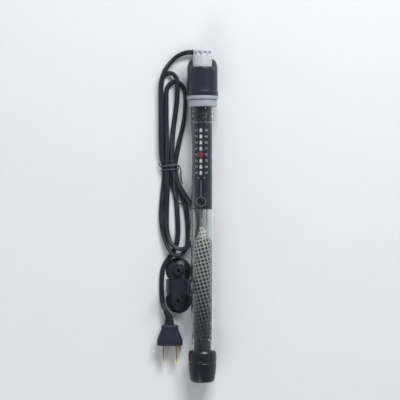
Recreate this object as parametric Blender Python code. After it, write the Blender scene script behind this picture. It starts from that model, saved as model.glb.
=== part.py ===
"""A submersible aquarium heater with its cord, plug and suction-cup bracket.

The heater lies on its back on the plane Z = 0. Its tube runs along Y with the knob at the +Y
end, and its temperature scale faces +Z. The origin is under the middle of the heater and its
bracket. Lengths are written in millimetres and turned into metres as each mesh is made.
"""
import math

import bmesh
import bpy
from mathutils import Vector

MM = 0.001

# The heater's axis, and where things stand along it (Y) measured from its middle
AXIS_X, AXIS_Z = 10.2, 15.3
HALF_LENGTH = 161.2

# Head
CAP_RADIUS, CAP_LIP_RADIUS = 14.7, 15.3
CAP_BOTTOM, CAP_LIP_TOP, CAP_CEILING, POCKET_FLOOR = 116.7, 120.6, 134.0, 138.0
CAP_REAR_TOP, CAP_FRONT_TOP = 152.2, 144.3
SCOOP_START, SCOOP_END = 62.0, 108.0
SHOULDER_DROP = 7.4
CAVITY_RADIUS = 13.2
KNOB_OFFSET = 3.5
KNOB_TOP_RADIUS, KNOB_SKIRT_RADIUS, POCKET_RADIUS = 8.6, 9.5, 10.0
KNOB_NOTCHES, NOTCH_HALF_WIDTH = 10, 2.1
NOTCH_BOTTOM, NOTCH_TOP, NOTCH_DEPTH = 155.2, 160.0, 1.4
SPINDLE_RADIUS = 1.95
BOOT_X, BOOT_Z, BOOT_RADIUS, BOOT_BEND = 2.0, -10.7, 3.3, 12.0
SCREW_TOP, SCREW_RADIUS, JOURNAL_RADIUS = 90.6, 2.2, 1.2

# Tube
TUBE_RADIUS, TUBE_BORE = 11.0, 9.9
TUBE_TOP, TUBE_DOME = 128.0, -146.0
COLLAR_BOTTOM, COLLAR_TOP, COLLAR_RADIUS = 105.9, 112.7, 14.1
BUNG_BOTTOM = 91.0

# Scale card and pointer
CARD_RADIUS, CARD_GROOVE_RADIUS, CARD_BORE = 9.6, 9.05, 8.4
CARD_BOTTOM, CARD_TOP, CARD_HALF_ANGLE = 6.6, 90.5, 85.0
SLOT_X, SLOT_WIDTH = -3.6, 0.9
POINTER_Y, POINTER_HEIGHT, POINTER_RIGHT = 59.5, 6.1, 1.0
LAMP_X, LAMP_Y = -1.3, 14.1

# Thermostat
BASE_BACK, BASE_FRONT = -1.5, -0.4
BIMETAL_PIVOT_Y, BIMETAL_TIP_Y, BIMETAL_Z = 84.0, 34.0, -4.0
CONTACT_Y = 46.0

# Element
NET_TOP, NET_BOTTOM, NET_THICKNESS = -10.8, -120.5, 0.45
CORE_RADIUS, WINDING_BORE, WINDING_RADIUS = 7.0, 7.15, 7.9
END_CAP_TOP, END_CAP_RADIUS = -130.3, 13.6

# Cord, plug and bracket, placed from the plane under the heater's axis
CORD_RADIUS = 2.2
HANK_BOTTOM, HANK_TOP = 1.3, 7.4
PLUG_X, PLUG_REAR, PLUG_FRONT = -31.7, -105.9, -126.2
PLUG_WIDTH, PLUG_THICKNESS, BLADE_SPACING = 25.0, 15.0, 12.7
BRACKET_X, CUP_Y_UPPER, CUP_Y_LOWER = -23.2, -53.5, -82.6
CUP_RADIUS = 12.5
CLIP_BORE, CLIP_RADIUS, CLIP_LENGTH, CLIP_MOUTH = 10.9, 12.2, 14.0, 50.0
BAR_BOTTOM, BAR_TOP = 8.0, 10.4

ROUND, FINE, SMALL = 40, 60, 16


# Materials

def plastic(name, color, roughness, metallic=0.0, alpha=1.0):
    made = bpy.data.materials.new(name)
    made.use_nodes = True
    shader = made.node_tree.nodes["Principled BSDF"]
    shader.inputs["Base Color"].default_value = (*color, 1.0)
    shader.inputs["Roughness"].default_value = roughness
    shader.inputs["Metallic"].default_value = metallic
    shader.inputs["Alpha"].default_value = alpha
    return made


def own(base, name):
    """Each sub-part has a material of its own, copied from the kind that it is made of."""
    made = base.copy()
    made.name = name
    return made


BLACK = plastic("black_plastic", (0.018, 0.020, 0.024), 0.32)
RUBBER = plastic("black_rubber", (0.015, 0.016, 0.018), 0.6)
LIGHT_GREY = plastic("light_grey_plastic", (0.52, 0.53, 0.56), 0.4)
BLUE_GREY = plastic("blue_grey_plastic", (0.34, 0.39, 0.45), 0.38)
RED = plastic("red_plastic", (0.42, 0.02, 0.03), 0.35)
CLEAR = plastic("clear_glass", (0.9, 0.96, 0.95), 0.03, alpha=0.3)
STEEL = plastic("bright_steel", (0.62, 0.62, 0.62), 0.28, metallic=1.0)
BRASS = plastic("brass", (0.62, 0.47, 0.22), 0.3, metallic=1.0)
CERAMIC = plastic("ceramic", (0.60, 0.56, 0.48), 0.6)
FIBRE = plastic("glass_fibre", (0.62, 0.60, 0.56), 0.7)
WINDING = plastic("resistance_wire", (0.08, 0.08, 0.09), 0.45, metallic=0.8)
PHENOLIC = plastic("phenolic_board", (0.20, 0.12, 0.06), 0.6)
CORD_BLACK = plastic("cord_sheath", (0.02, 0.021, 0.024), 0.42)


# Making and placing

def empty(name, x, y, z, parent=None):
    holder = bpy.data.objects.new(name, None)
    holder.location = (x * MM, y * MM, z * MM)
    holder.parent = parent
    bpy.context.scene.collection.objects.link(holder)
    return holder


def placed(name, mesh, kind, parent, centre=(0.0, 0.0, 0.0)):
    thing = bpy.data.objects.new(name, mesh)
    thing.location = Vector(centre) * MM
    thing.parent = parent
    bpy.context.scene.collection.objects.link(thing)
    thing.data.materials.append(own(kind, name))
    return thing


def finished(bm, name):
    bmesh.ops.remove_doubles(bm, verts=bm.verts, dist=0.000002)
    bmesh.ops.recalc_face_normals(bm, faces=bm.faces)
    mesh = bpy.data.meshes.new(name)
    bm.to_mesh(mesh)
    bm.free()
    mesh.shade_smooth()
    mesh.set_sharp_from_angle(angle=math.radians(32))
    return mesh


def turned(name, profile, kind, parent, centre=(0.0, 0.0, 0.0), axis="Y", segments=ROUND):
    """Spin a closed profile of (radius, height) points; points of radius 0 close on the axis."""
    bm = bmesh.new()
    spun_about = Vector((0, 1, 0)) if axis == "Y" else Vector((0, 0, 1))
    corners = [bm.verts.new(Vector((radius, 0, 0)) * MM + spun_about * height * MM)
               for radius, height in profile]
    on_axis = profile[0][0] == 0 and profile[-1][0] == 0
    pairs = list(zip(corners, corners[1:]))
    if not on_axis:
        pairs.append((corners[-1], corners[0]))
    edges = [bm.edges.new(pair) for pair in pairs]
    bmesh.ops.spin(bm, geom=corners + edges, cent=(0, 0, 0), axis=spun_about, dvec=(0, 0, 0),
                   angle=math.tau, steps=segments, use_merge=True, use_duplicate=False)
    return placed(name, finished(bm, name), kind, parent, centre)


def extruded(name, outline, start, end, kind, parent, axis="Y", bevel=0.0, centre=(0.0, 0.0, 0.0)):
    """Extrude an outline along an axis: (x, z) points along Y, or (x, y) points along Z."""
    bm = bmesh.new()
    if axis == "Y":
        corners = [bm.verts.new(Vector((a, start, b)) * MM) for a, b in outline]
        travel = Vector((0, end - start, 0)) * MM
    else:
        corners = [bm.verts.new(Vector((a, b, start)) * MM) for a, b in outline]
        travel = Vector((0, 0, end - start)) * MM
    cap = bm.faces.new(corners)
    swept = bmesh.ops.extrude_face_region(bm, geom=[cap])["geom"]
    bmesh.ops.translate(bm, vec=travel, verts=[v for v in swept if isinstance(v, bmesh.types.BMVert)])
    thing = placed(name, finished(bm, name), kind, parent, centre)
    if bevel:
        rounded = thing.modifiers.new("rounded_edges", "BEVEL")
        rounded.width = bevel * MM
        rounded.segments = 2
        rounded.limit_method = "ANGLE"
    return thing


def block(name, low, high, kind, parent, bevel=0.0):
    outline = [(low[0], low[2]), (high[0], low[2]), (high[0], high[2]), (low[0], high[2])]
    return extruded(name, outline, low[1], high[1], kind, parent, bevel=bevel)


def lofted(name, rings, kind, parent, centre=(0.0, 0.0, 0.0), wrap=False):
    """Skin equal rings of points; wrap joins the last ring to the first, else the ends are capped."""
    bm = bmesh.new()
    rows = [[bm.verts.new(Vector(point) * MM) for point in ring] for ring in rings]
    if wrap:
        rows.append(rows[0])
    for row, following in zip(rows, rows[1:]):
        for i in range(len(row)):
            j = (i + 1) % len(row)
            bm.faces.new((row[i], row[j], following[j], following[i]))
    if not wrap:
        bm.faces.new(rows[0])
        bm.faces.new(rows[-1])
    return placed(name, finished(bm, name), kind, parent, centre)


def cut(thing, *cutters):
    """Take each cutter's shape out of a thing, and leave the cutter hidden."""
    for cutter in cutters:
        cutter.hide_render = True
        cutter.display_type = "WIRE"
        boolean = thing.modifiers.new("cut_by_" + cutter.name, "BOOLEAN")
        boolean.operation = "DIFFERENCE"
        boolean.solver = "EXACT"
        boolean.object = cutter


def drill(name, radius, start, end, parent, x=0.0, z=0.0, segments=SMALL):
    profile = [(0, end), (radius, end), (radius, start), (0, start)]
    return turned(name, profile, RUBBER, parent, centre=(x, 0, z), segments=segments)


def smooth_route(points, per_stretch, closed=False):
    """Points along a Catmull-Rom curve through the given ones."""
    count = len(points)
    stretches = count if closed else count - 1
    route = []
    for i in range(stretches):
        if closed:
            around = [points[(i + k) % count] for k in (-1, 0, 1, 2)]
        else:
            around = [points[min(max(i + k, 0), count - 1)] for k in (-1, 0, 1, 2)]
        before, here, there, after = (Vector(p) for p in around)
        for step in range(per_stretch):
            t = step / per_stretch
            route.append(0.5 * ((2 * here) + (there - before) * t
                                + (2 * before - 5 * here + 4 * there - after) * t * t
                                + (3 * here - before - 3 * there + after) * t * t * t))
    if not closed:
        route.append(Vector(points[-1]))
    return route


def cable(name, points, radius, kind, parent, resolution=2, taper=None):
    """A round cable along the points; taper gives the radius at each one."""
    curve = bpy.data.curves.new(name, "CURVE")
    curve.dimensions = "3D"
    curve.bevel_depth = radius * MM
    curve.bevel_resolution = resolution
    curve.render_resolution_u = 0
    curve.use_fill_caps = True
    spline = curve.splines.new("POLY")
    spline.points.add(len(points) - 1)
    for i, point in enumerate(points):
        spline.points[i].co = (*(Vector(point) * MM), 1.0)
        spline.points[i].radius = taper[i] / radius if taper else 1.0
    thing = bpy.data.objects.new(name, curve)
    thing.parent = parent
    bpy.context.scene.collection.objects.link(thing)
    curve.materials.append(own(kind, name))
    return thing


def arc(radius, start, end, steps):
    """Points of an arc in the XZ plane; the angle runs from +Z towards +X, in degrees."""
    angles = [math.radians(start + (end - start) * i / steps) for i in range(steps + 1)]
    return [(radius * math.sin(a), radius * math.cos(a)) for a in angles]


def smoothstep(value, low, high):
    t = min(max((value - low) / (high - low), 0.0), 1.0)
    return t * t * (3 - 2 * t)


# Head

def rim_height(angle):
    """The cap's top edge: high behind and beside the knob, and scooped low in front of it."""
    from_front = abs(math.degrees(math.atan2(math.sin(angle), math.cos(angle))))
    return CAP_FRONT_TOP + (CAP_REAR_TOP - CAP_FRONT_TOP) * smoothstep(from_front, SCOOP_START, SCOOP_END)


def head_cap(axis):
    angles = [math.tau * i / ROUND for i in range(ROUND)]

    def ring(radius, height, offset=0.0):
        return [(radius * math.sin(a), height, offset + radius * math.cos(a)) for a in angles]

    def shoulder(turn):
        """One ring of the rounded shoulder; turn goes from 0 at the wall to 90 at the top."""
        points = []
        for a in angles:
            wall = Vector((CAP_RADIUS * math.sin(a), CAP_RADIUS * math.cos(a)))
            pocket = Vector((POCKET_RADIUS * math.sin(a), KNOB_OFFSET + POCKET_RADIUS * math.cos(a)))
            gap = (wall - pocket).length
            across = min(0.95 * gap, SHOULDER_DROP - 1)
            drop = min(1.5 * across + 1.2, SHOULDER_DROP)
            inward = across * (1 - math.cos(math.radians(turn))) / gap
            place = wall.lerp(pocket, inward)
            height = rim_height(a) - drop * (1 - math.sin(math.radians(turn)))
            points.append((place.x, height, place.y))
        return points

    pocket_top = [(POCKET_RADIUS * math.sin(a), rim_height(a), KNOB_OFFSET + POCKET_RADIUS * math.cos(a))
                  for a in angles]
    rings = [ring(SPINDLE_RADIUS + 0.3, CAP_CEILING, KNOB_OFFSET),
             ring(SPINDLE_RADIUS + 0.3, POCKET_FLOOR, KNOB_OFFSET),
             ring(POCKET_RADIUS, POCKET_FLOOR, KNOB_OFFSET), pocket_top]
    rings += [shoulder(turn) for turn in (90, 70, 50, 30, 12, 0)]
    rings += [ring(CAP_RADIUS, CAP_LIP_TOP + 0.5), ring(CAP_LIP_RADIUS, CAP_LIP_TOP),
              ring(CAP_LIP_RADIUS, CAP_BOTTOM + 0.4), ring(CAP_LIP_RADIUS - 0.4, CAP_BOTTOM),
              ring(CAVITY_RADIUS, CAP_BOTTOM), ring(CAVITY_RADIUS, CAP_CEILING)]
    cap = lofted("head_cap", rings, BLACK, axis, wrap=True)
    clearance = 0.3
    cut(cap, drill("boot_hole", BOOT_RADIUS + clearance, CAP_CEILING - 1, 147, axis, x=BOOT_X, z=BOOT_Z),
        drill("boot_mouth", BOOT_RADIUS + 2 * clearance, 146, CAP_REAR_TOP + 4, axis,
              x=BOOT_X - clearance, z=BOOT_Z))


def temperature_knob(knob_axis):
    def ring(radius, height, notch=0.0):
        points = []
        between = math.tau / KNOB_NOTCHES
        for i in range(FINE):
            a = math.tau * i / FINE
            from_middle = (a % between - between / 2) * radius / NOTCH_HALF_WIDTH
            dip = notch * math.sqrt(max(0.0, 1 - from_middle ** 2))
            points.append(((radius - dip) * math.sin(a), height, (radius - dip) * math.cos(a)))
        return points

    bottom = POCKET_FLOOR + 0.4
    rings = [ring(SPINDLE_RADIUS + 0.1, 150.3), ring(SPINDLE_RADIUS + 0.1, bottom),
             ring(KNOB_SKIRT_RADIUS - 0.3, bottom), ring(KNOB_SKIRT_RADIUS, bottom + 0.4),
             ring(KNOB_SKIRT_RADIUS, 151.0), ring(KNOB_TOP_RADIUS + 0.3, NOTCH_BOTTOM),
             ring(KNOB_TOP_RADIUS + 0.2, NOTCH_BOTTOM + 0.5, NOTCH_DEPTH),
             ring(KNOB_TOP_RADIUS, NOTCH_TOP - 0.3, NOTCH_DEPTH),
             ring(KNOB_TOP_RADIUS - 0.1, NOTCH_TOP), ring(KNOB_TOP_RADIUS - 1.1, HALF_LENGTH)]
    lofted("temperature_knob", rings, LIGHT_GREY, knob_axis)


def spindle_and_screw(knob_axis):
    turned("knob_spindle", [(0, 150.0), (SPINDLE_RADIUS, 150.0), (SPINDLE_RADIUS, SCREW_TOP + 0.3),
                            (0, SCREW_TOP + 0.3)], STEEL, knob_axis, segments=SMALL)
    turned("lead_screw", [(0, SCREW_TOP), (SCREW_RADIUS, SCREW_TOP), (SCREW_RADIUS, 36.2),
                          (JOURNAL_RADIUS, 36.2), (JOURNAL_RADIUS, 32.8), (0, 32.8)],
           BRASS, knob_axis, segments=SMALL)


def seals_and_rings(axis):
    o_ring = [(2.9 + 0.65 * math.cos(a), 132.3 + 0.65 * math.sin(a))
              for a in (math.tau * i / 6 for i in range(6))]
    turned("spindle_o_ring", o_ring, RUBBER, axis, centre=(0, 0, KNOB_OFFSET), segments=SMALL)
    turned("clamp_ring", [(CAVITY_RADIUS, 116.4), (15.0, 116.4), (CAP_LIP_RADIUS, 116.1),
                          (CAP_LIP_RADIUS, 113.3), (15.0, 113.0), (CAVITY_RADIUS, 113.0)],
           BLUE_GREY, axis)
    bore = TUBE_RADIUS + 0.25
    turned("collar", [(bore, 126.0), (12.9, 126.0), (12.9, COLLAR_TOP), (COLLAR_RADIUS - 0.5, COLLAR_TOP),
                      (COLLAR_RADIUS, COLLAR_TOP - 0.5), (COLLAR_RADIUS, COLLAR_BOTTOM + 0.8),
                      (COLLAR_RADIUS - 0.8, COLLAR_BOTTOM), (bore, COLLAR_BOTTOM)], BLUE_GREY, axis)
    turned("tube_gasket", [(bore, 128.0), (12.9, 128.0), (12.9, 126.3), (bore, 126.3)], RUBBER, axis)


def rubber_bung(axis):
    plug = TUBE_BORE - 0.3
    groove = plug - 0.5
    bung = turned("rubber_bung", [(0, 130.7), (12.6, 130.7), (12.6, 128.3), (plug, 128.3), (plug, 102.0),
                                  (groove, 101.7), (groove, 100.7), (plug, 100.4), (plug, BUNG_BOTTOM),
                                  (0, BUNG_BOTTOM)], RUBBER, axis)
    cut(bung, drill("spindle_hole", SPINDLE_RADIUS + 0.15, 90, 132, axis, z=KNOB_OFFSET),
        drill("live_hole", 0.9, 90, 132, axis, x=4.0, z=-5.2, segments=12),
        drill("neutral_hole", 0.9, 90, 132, axis, x=-4.0, z=-5.2, segments=12))


def cord_boot(axis):
    """The moulded boot behind the knob: a straight foot, then a quarter turn towards -X."""
    foot_top = 148.0
    points = [(BOOT_X, height, BOOT_Z) for height in (CAP_CEILING + 0.3, 141.0)]
    taper = [BOOT_RADIUS, BOOT_RADIUS]
    for step in range(9):
        turn = math.radians(90 * step / 8)
        points.append((BOOT_X - BOOT_BEND * (1 - math.cos(turn)), foot_top + BOOT_BEND * math.sin(turn), BOOT_Z))
        taper.append(BOOT_RADIUS - 0.4 * step / 8)
    cable("cord_boot", points, BOOT_RADIUS, RUBBER, axis, resolution=3, taper=taper)


# Tube and what it holds

def glass_tube(axis):
    def dome(radius, depth):
        return [(radius * math.cos(math.radians(t)), TUBE_DOME - depth * math.sin(math.radians(t)))
                for t in (0, 20, 40, 60, 75)]

    outside = [(TUBE_BORE + 0.3, TUBE_TOP), (TUBE_RADIUS - 0.3, TUBE_TOP), (TUBE_RADIUS, TUBE_TOP - 0.3)]
    outside += dome(TUBE_RADIUS, 10.0) + [(0, TUBE_DOME - 10.0)]
    inside = dome(TUBE_BORE, 8.9) + [(0, TUBE_DOME - 8.9)]
    profile = [outside[-1]] + outside[-2::-1] + [(TUBE_BORE, TUBE_TOP - 0.3)] + inside
    turned("glass_tube", profile, CLEAR, axis)


def scale_card(axis):
    """A thin half-round card with a shallow groove that the pointer's flag slides in."""
    groove_left, groove_right = -27.0, 12.0
    outline = arc(CARD_RADIUS, -CARD_HALF_ANGLE, groove_left, 8)
    outline += arc(CARD_GROOVE_RADIUS, groove_left, groove_right, 6)
    outline += arc(CARD_RADIUS, groove_right, CARD_HALF_ANGLE, 9)
    outline += arc(CARD_BORE, CARD_HALF_ANGLE, -CARD_HALF_ANGLE, 20)
    card = extruded("scale_card", outline, CARD_BOTTOM, CARD_TOP, BLACK, axis)
    half_slot = SLOT_WIDTH / 2
    slot = block("pointer_slot", (SLOT_X - half_slot, 37.5, 6), (SLOT_X + half_slot, 87.5, 12), BLACK, axis)
    window = turned("lamp_window", [(0, 12), (3.9, 12), (3.9, 5), (0, 5)], BLACK, axis,
                    centre=(LAMP_X, LAMP_Y, 0), axis="Z", segments=24)
    cut(card, slot, window)
    turned("pilot_lens", [(0, 8.3), (3.3, 8.3), (3.6, 8.1), (3.6, 7.75), (0, 7.75)], RED, axis,
           centre=(LAMP_X, LAMP_Y, 0), axis="Z", segments=24)


def temperature_pointer(axis):
    """The red nut on the lead screw, whose stem passes the card's slot and ends in a flag."""
    left, right = SLOT_X - 0.3, SLOT_X + 0.3
    flag_in, flag_out = CARD_GROOVE_RADIUS + 0.15, TUBE_BORE - 0.2
    flag_right = math.degrees(math.asin(POINTER_RIGHT / flag_in))
    outline = [(left, 0.8), (3.2, 0.8), (3.2, 6.2), (right, 6.2)]
    outline += arc(flag_in, math.degrees(math.asin(right / flag_in)), flag_right, 5)
    outline += arc(flag_out, flag_right, math.degrees(math.asin(left / flag_out)), 5)
    half = POINTER_HEIGHT / 2
    pointer = extruded("temperature_pointer", outline, POINTER_Y - half, POINTER_Y + half, RED, axis)
    cut(pointer, drill("nut_bore", SCREW_RADIUS + 0.15, 50, 70, axis, z=KNOB_OFFSET))


def thermostat(axis, bimetal_axis):
    block("thermostat_base", (-6.2, 9.0, BASE_BACK), (6.2, 90.0, BASE_FRONT), PHENOLIC, axis)
    bearing = block("screw_bearing", (-3.0, 33.2, BASE_FRONT + 0.3), (3.0, 35.8, 6.6), BRASS, axis)
    cut(bearing, drill("bearing_hole", JOURNAL_RADIUS + 0.1, 32, 37, axis, z=KNOB_OFFSET))
    block("bimetal_mount", (-2.5, BIMETAL_PIVOT_Y, -3.3), (2.5, 90.0, BASE_BACK - 0.3), CERAMIC, axis)
    pivot_y, pivot_z = BIMETAL_PIVOT_Y, BIMETAL_Z
    block("bimetal_strip", (-2.5, BIMETAL_TIP_Y - pivot_y, -0.4), (2.5, 90.0 - pivot_y, 0.4), BRASS, bimetal_axis)
    turned("moving_contact", [(0, -0.7), (1.3, -0.7), (1.3, -1.5), (0, -1.5)], STEEL, bimetal_axis,
           centre=(0, CONTACT_Y - pivot_y, 0), axis="Z", segments=SMALL)
    turned("fixed_contact", [(0, pivot_z - 1.8), (1.6, pivot_z - 1.8), (1.6, pivot_z - 2.6), (0, pivot_z - 2.6)],
           STEEL, axis, centre=(0, CONTACT_Y, 0), axis="Z", segments=SMALL)
    block("contact_arm", (-2.5, 20.0, -7.5), (2.5, 50.0, -6.9), BRASS, axis)
    block("contact_post", (-2.5, 20.0, -6.6), (2.5, 26.0, BASE_BACK - 0.3), CERAMIC, axis)
    block("snap_magnet", (-2.2, 34.5, -6.6), (2.2, 39.5, -5.0), STEEL, axis)
    turned("suppressor_capacitor", [(0, -3.8), (3.0, -3.8), (3.6, -4.4), (3.6, -5.6), (3.0, -6.2), (0, -6.2)],
           CERAMIC, axis, centre=(3.0, 14.5, 0), axis="Z", segments=SMALL)
    turned("lamp_resistor", [(0, 17.0), (0.9, 17.0), (1.2, 16.2), (1.2, 10.8), (0.9, 10.0), (0, 10.0)],
           CERAMIC, axis, centre=(-4.5, 0, -4.0), segments=12)
    turned("neon_lamp", [(0, 20.4), (1.4, 19.8), (2.5, 18.0), (2.5, 9.2), (2.0, 8.4), (0, 8.4)],
           CLEAR, axis, centre=(LAMP_X, 0, 4.6), segments=SMALL)


def wires(axis):
    for name, side in (("supply_wire_live", 1), ("supply_wire_neutral", -1)):
        route = [(2 + 1.3 * side, 133.4, -10.2), (2.4 * side + 0.8, 132.4, -8.2), (4.0 * side, 131.6, -6.3),
                 (4.0 * side, 129.6, -5.2), (4.0 * side, 110.0, -5.2), (4.0 * side, 88.5, -5.2)]
        cable(name, smooth_route(route, 2), 0.6, CORD_BLACK, axis)
    cable("element_lead_long", smooth_route([(4.6, 12.0, -2.6), (4.5, 5.0, -2.3), (4.3, 0.0, -1.0),
                                             (4.6, -4.6, 0.0)], 2), 0.45, STEEL, axis)
    turned("crimp_long", [(0, -4.9), (1.0, -4.9), (1.0, -8.9), (0, -8.9)], STEEL, axis,
           centre=(4.6, 0, 0), segments=12)
    cable("element_lead_short", smooth_route([(-0.4, 12.0, -2.6), (-0.4, 5.0, -2.8), (-0.4, -1.6, -3.0)], 2),
          0.45, STEEL, axis)
    turned("crimp_short", [(0, -1.9), (1.0, -1.9), (1.0, -5.9), (0, -5.9)], STEEL, axis,
           centre=(-0.4, 0, -3.0), segments=12)


# Heating element

def element(axis):
    turned("core_terminal", [(0, -11.6), (3.3, -11.6), (3.3, -20.6), (0, -20.6)], CERAMIC, axis, segments=24)
    turned("ceramic_core", [(0, -20.9), (5.2, -20.9), (CORE_RADIUS, -23.2), (CORE_RADIUS, -118.4),
                            (5.8, -120.4), (0, -120.4)], CERAMIC, axis, segments=24)
    turned("heating_winding", [(WINDING_BORE, -24.4), (WINDING_RADIUS, -24.4), (WINDING_RADIUS, -117.6),
                               (WINDING_BORE, -117.6)], WINDING, axis, segments=24)
    outside = [(4.2, NET_TOP), (4.4, -13.0), (4.5, -18.0), (6.4, -20.4), (8.5, -23.4), (8.9, -27.0),
               (9.05, -67.0), (8.85, -95.0), (8.55, NET_BOTTOM)]
    inside = [(radius - NET_THICKNESS, height) for radius, height in reversed(outside)]
    turned("net_sleeve", outside + inside, FIBRE, axis, segments=28)
    turned("base_cushion", [(0, -121.0), (7.8, -121.0), (8.2, -121.6), (8.2, -145.6), (0, -145.6)],
           RUBBER, axis, segments=24)


def end_cap(axis):
    bore = TUBE_RADIUS + 0.3
    corner = [(6.2 + 6.2 * math.cos(math.radians(t)), -155.0 - 6.2 * math.sin(math.radians(t)))
              for t in (0, 22, 45, 68, 90)]
    outside = [(END_CAP_RADIUS - 0.9, END_CAP_TOP), (END_CAP_RADIUS, END_CAP_TOP - 0.9),
               (END_CAP_RADIUS, -141.5), (END_CAP_RADIUS - 0.4, -141.9), (END_CAP_RADIUS - 0.4, -142.4),
               (END_CAP_RADIUS - 0.1, -142.8), (13.2, -149.0)] + corner + [(0, -HALF_LENGTH)]
    inside = [(0, -156.4), (bore * 0.55, -155.0), (bore * 0.85, -152.0), (bore, -146.4), (bore, END_CAP_TOP)]
    turned("end_cap", outside[::-1] + inside[::-1], RUBBER, axis)


# Cord and plug

def cord(ground):
    lead = [(-10.6, 160.0, 4.7), (-17.0, 159.2, 4.5), (-24.6, 155.6, 4.0), (-30.4, 149.9, 3.4),
            (-34.2, 144.0, 2.8), (-36.4, 140.4, 2.4)]
    cable("cord_lead", smooth_route(lead, 3), CORD_RADIUS, CORD_BLACK, ground)
    tail = [(-34.6, -43.4, 4.0), (-37.4, -47.6, 3.0), (-39.4, -53.5, 2.4), (-39.8, -62.0, 2.3),
            (-39.8, -71.0, 2.3), (-39.6, -79.5, 2.6), (-38.7, -86.0, 4.2), (-36.3, -90.9, 6.3)]
    cable("cord_tail", smooth_route(tail, 3), CORD_RADIUS, CORD_BLACK, ground)
    outline = [(-43.7, 122.0), (-41.6, 128.6), (-37.2, 134.4), (-31.0, 140.8), (-25.6, 139.6), (-21.2, 131.0),
               (-15.8, 124.0), (-13.8, 112.0), (-15.5, 95.0), (-20.0, 75.0), (-25.0, 56.0), (-26.6, 46.4),
               (-24.0, 36.0), (-14.5, 17.0), (-9.2, 2.0), (-9.0, -14.0), (-11.5, -27.0), (-17.5, -35.5),
               (-25.5, -39.8), (-33.4, -37.6), (-39.2, -27.0), (-42.8, -8.0), (-42.8, 10.0), (-41.0, 28.0),
               (-37.6, 46.4), (-41.0, 62.0), (-43.6, 85.0)]
    around = [(p.x, p.y) for p in smooth_route([(x, y, 0) for x, y in outline], 2, closed=True)]
    extruded("cord_hank", around, HANK_BOTTOM, HANK_TOP, CORD_BLACK, ground, axis="Z")


def twist_tie(ground):
    """A band round the hank's waist."""
    def loop(grow):
        return [(-39.4 - grow, HANK_BOTTOM - 0.4 - grow), (-24.9 + grow, HANK_BOTTOM - 0.4 - grow),
                (-24.9 + grow, HANK_TOP + 0.4 + grow), (-39.4 - grow, HANK_TOP + 0.4 + grow)]

    tie = extruded("twist_tie", loop(0.7), 44.9, 47.9, RUBBER, ground)
    cut(tie, extruded("tie_opening", loop(0), 43, 50, RUBBER, ground))


def plug(ground):
    half, height = PLUG_WIDTH / 2, PLUG_THICKNESS
    outline = [(PLUG_X - half, PLUG_FRONT), (PLUG_X + half, PLUG_FRONT), (PLUG_X + half, PLUG_FRONT + 5),
               (PLUG_X + half - 1.6, PLUG_FRONT + 11), (PLUG_X + half - 4.2, PLUG_REAR),
               (PLUG_X - half + 4.2, PLUG_REAR), (PLUG_X - half + 1.6, PLUG_FRONT + 11),
               (PLUG_X - half, PLUG_FRONT + 5)]
    extruded("plug_body", outline, 0.0, height, BLACK, ground, axis="Z", bevel=2.2)
    turn_radius = 24.6
    points = []
    for step in range(7):
        turn = math.radians(33 * step / 6)
        points.append((PLUG_X - turn_radius * (1 - math.cos(turn)),
                       PLUG_REAR + 0.6 + turn_radius * math.sin(turn), height / 2 - 0.2 * max(step - 1, 0)))
    cable("plug_boot", points, 4.6, RUBBER, ground, resolution=3, taper=[4.6 - 0.28 * i for i in range(7)])
    for name, side, tall in (("plug_blade_live", -1, 6.35), ("plug_blade_neutral", 1, 7.9)):
        middle = PLUG_X + side * BLADE_SPACING / 2
        block(name, (middle - 0.75, PLUG_FRONT - 17.2, (height - tall) / 2),
              (middle + 0.75, PLUG_FRONT - 0.3, (height + tall) / 2), BRASS, ground, bevel=0.35)


# Bracket and suction cups

def bracket(ground):
    """A bar on two suction cups, with a springy open clip for the tube in its middle."""
    width, end_gap = 6.0, 7.0
    low, high = CUP_Y_LOWER - end_gap, CUP_Y_UPPER + end_gap
    bar = block("bracket", (BRACKET_X - width, low, BAR_BOTTOM), (BRACKET_X + width, high, BAR_TOP),
                BLACK, ground)
    clip_z = BAR_BOTTOM + 0.2 + CLIP_RADIUS
    middle = (CUP_Y_UPPER + CUP_Y_LOWER) / 2
    ring = arc(CLIP_RADIUS, CLIP_MOUTH, 360 - CLIP_MOUTH, 24) + arc(CLIP_BORE, 360 - CLIP_MOUTH, CLIP_MOUTH, 24)
    outline = [(BRACKET_X + x, clip_z + z) for x, z in ring]
    clip = extruded("bracket_clip", outline, middle - CLIP_LENGTH / 2, middle + CLIP_LENGTH / 2, BLACK, ground)
    clip.hide_render = True
    clip.display_type = "WIRE"
    joined = bar.modifiers.new("with_clip", "BOOLEAN")
    joined.operation = "UNION"
    joined.solver = "EXACT"
    joined.object = clip
    bore = drill("clip_bore", CLIP_BORE, middle - 8.5, middle + 8.5, ground, x=BRACKET_X, z=clip_z, segments=ROUND)
    holes = [turned("cup_hole_" + side, [(0, 15), (3.5, 15), (3.5, 6), (0, 6)], BLACK, ground,
                    centre=(BRACKET_X, y, 0), axis="Z", segments=SMALL)
             for side, y in (("upper", CUP_Y_UPPER), ("lower", CUP_Y_LOWER))]
    cut(bar, bore, *holes)


def suction_cups(ground):
    profile = [(0, 3.3), (5.0, 2.9), (9.0, 1.4), (11.4, 0.0), (CUP_RADIUS, 0.0), (CUP_RADIUS, 0.5),
               (10.0, 2.6), (7.0, 4.3), (5.0, 5.4), (4.6, 7.7), (3.2, 7.7), (3.2, 10.7), (4.8, 10.9),
               (4.5, 12.4), (1.6, 12.4), (1.4, 10.0), (0, 9.8)]
    for name, y in (("suction_cup_upper", CUP_Y_UPPER), ("suction_cup_lower", CUP_Y_LOWER)):
        turned(name, profile, RUBBER, ground, centre=(BRACKET_X, y, 0), axis="Z", segments=24)


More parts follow.
